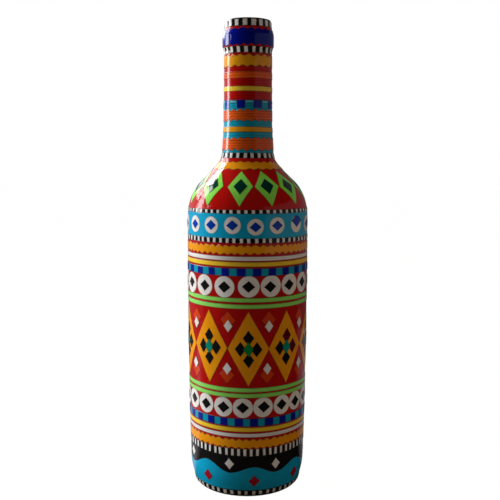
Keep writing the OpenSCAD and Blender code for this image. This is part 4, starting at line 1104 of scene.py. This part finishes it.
def paleFloor():
    material, tree, surface = bareMaterial("paleFloor")
    matt = addNode(tree, "BsdfDiffuse", {"Color": (*studio["floorColour"], 1)})
    glow = addNode(tree, "Emission", {"Strength": studio["floorWhite"]})
    share = addNode(tree, "Math", {0: seenWhite(tree), 1: studio["floorGlow"]}, operation="MULTIPLY")
    blend = addNode(tree, "MixShader", {0: share.outputs[0], 1: matt.outputs[0], 2: glow.outputs[0]})
    tree.links.new(blend.outputs[0], surface)
    return material


def cardFinish(name, level):
    material, tree, surface = bareMaterial(name)
    glow = addNode(tree, "Emission", {"Color": (*studio["cardTint"], 1), "Strength": level})
    tree.links.new(glow.outputs[0], surface)
    return material


def stageMesh(name, points, faces, material):
    mesh = bpy.data.meshes.new(name)
    mesh.from_pydata(points, [], faces)
    mesh.materials.append(material)
    made = inScene(name, mesh)
    return made


def card(name, start, end, inner, outer, level):  # inner and outer are (reach, height)
    count = max(2, math.ceil((end - start) / studio["cardStep"]))
    angles = [start + (end - start) * i / count for i in range(count + 1)]
    points = [place(a, *edge) for edge in (inner, outer) for a in angles]
    faces = [(i, i + 1, count + 2 + i, count + 1 + i) for i in range(count)]
    made = stageMesh(name, points, faces, cardFinish(name + "Finish", level))
    made.visible_camera = made.visible_diffuse = made.visible_transmission = made.visible_shadow = False


half, reach, top = studio["floorSize"], studio["cardReach"], studio["ceiling"]
stageMesh("floor", [(-half, -half, 0), (half, -half, 0), (half, half, 0), (-half, half, 0)], [(0, 1, 2, 3)],
          paleFloor())
for name, (start, end, low, high, level) in cards.items():
    card(name, start, end, (reach, low), (reach, high), level)
for name, (start, end, near, far, level) in tableCards.items():
    card(name, start, end, (near, studio["cardLift"]), (far, studio["cardLift"]), level)
card("darkCeiling", -180, 180, (0.0, top), (reach, top), studio["ceilingLevel"])


def lamp(name, spot, turn, width, height, brightness, tint=(1, 1, 1)):
    data = bpy.data.lights.new(name, "AREA")
    data.color = tint
    data.shape = "RECTANGLE"
    data.size, data.size_y = width, height
    data.energy = brightness * math.pi * width * height
    made = inScene(name, data)
    made.location = spot
    made.rotation_euler = (math.radians(turn[0]), 0, math.radians(turn[1]))
    return made


for name, (start, end, low, high, brightness) in panes.items():
    middle, width = (start + end) / 2, 2 * studio["reach"] * math.tan(math.radians(end - start) / 2)
    lamp(name, place(middle, studio["reach"], (low + high) / 2), (90, middle), width, high - low, brightness)
for name, (azimuth, distance, z, turn, size, brightness, tint) in softLamps.items():
    lamp(name, place(azimuth, distance, z), turn, size, size, brightness, tint).visible_glossy = False
bpy.data.objects["bounceLamp"].visible_camera = False

bpy.context.scene.view_settings.view_transform = "Standard"
print("studio set")
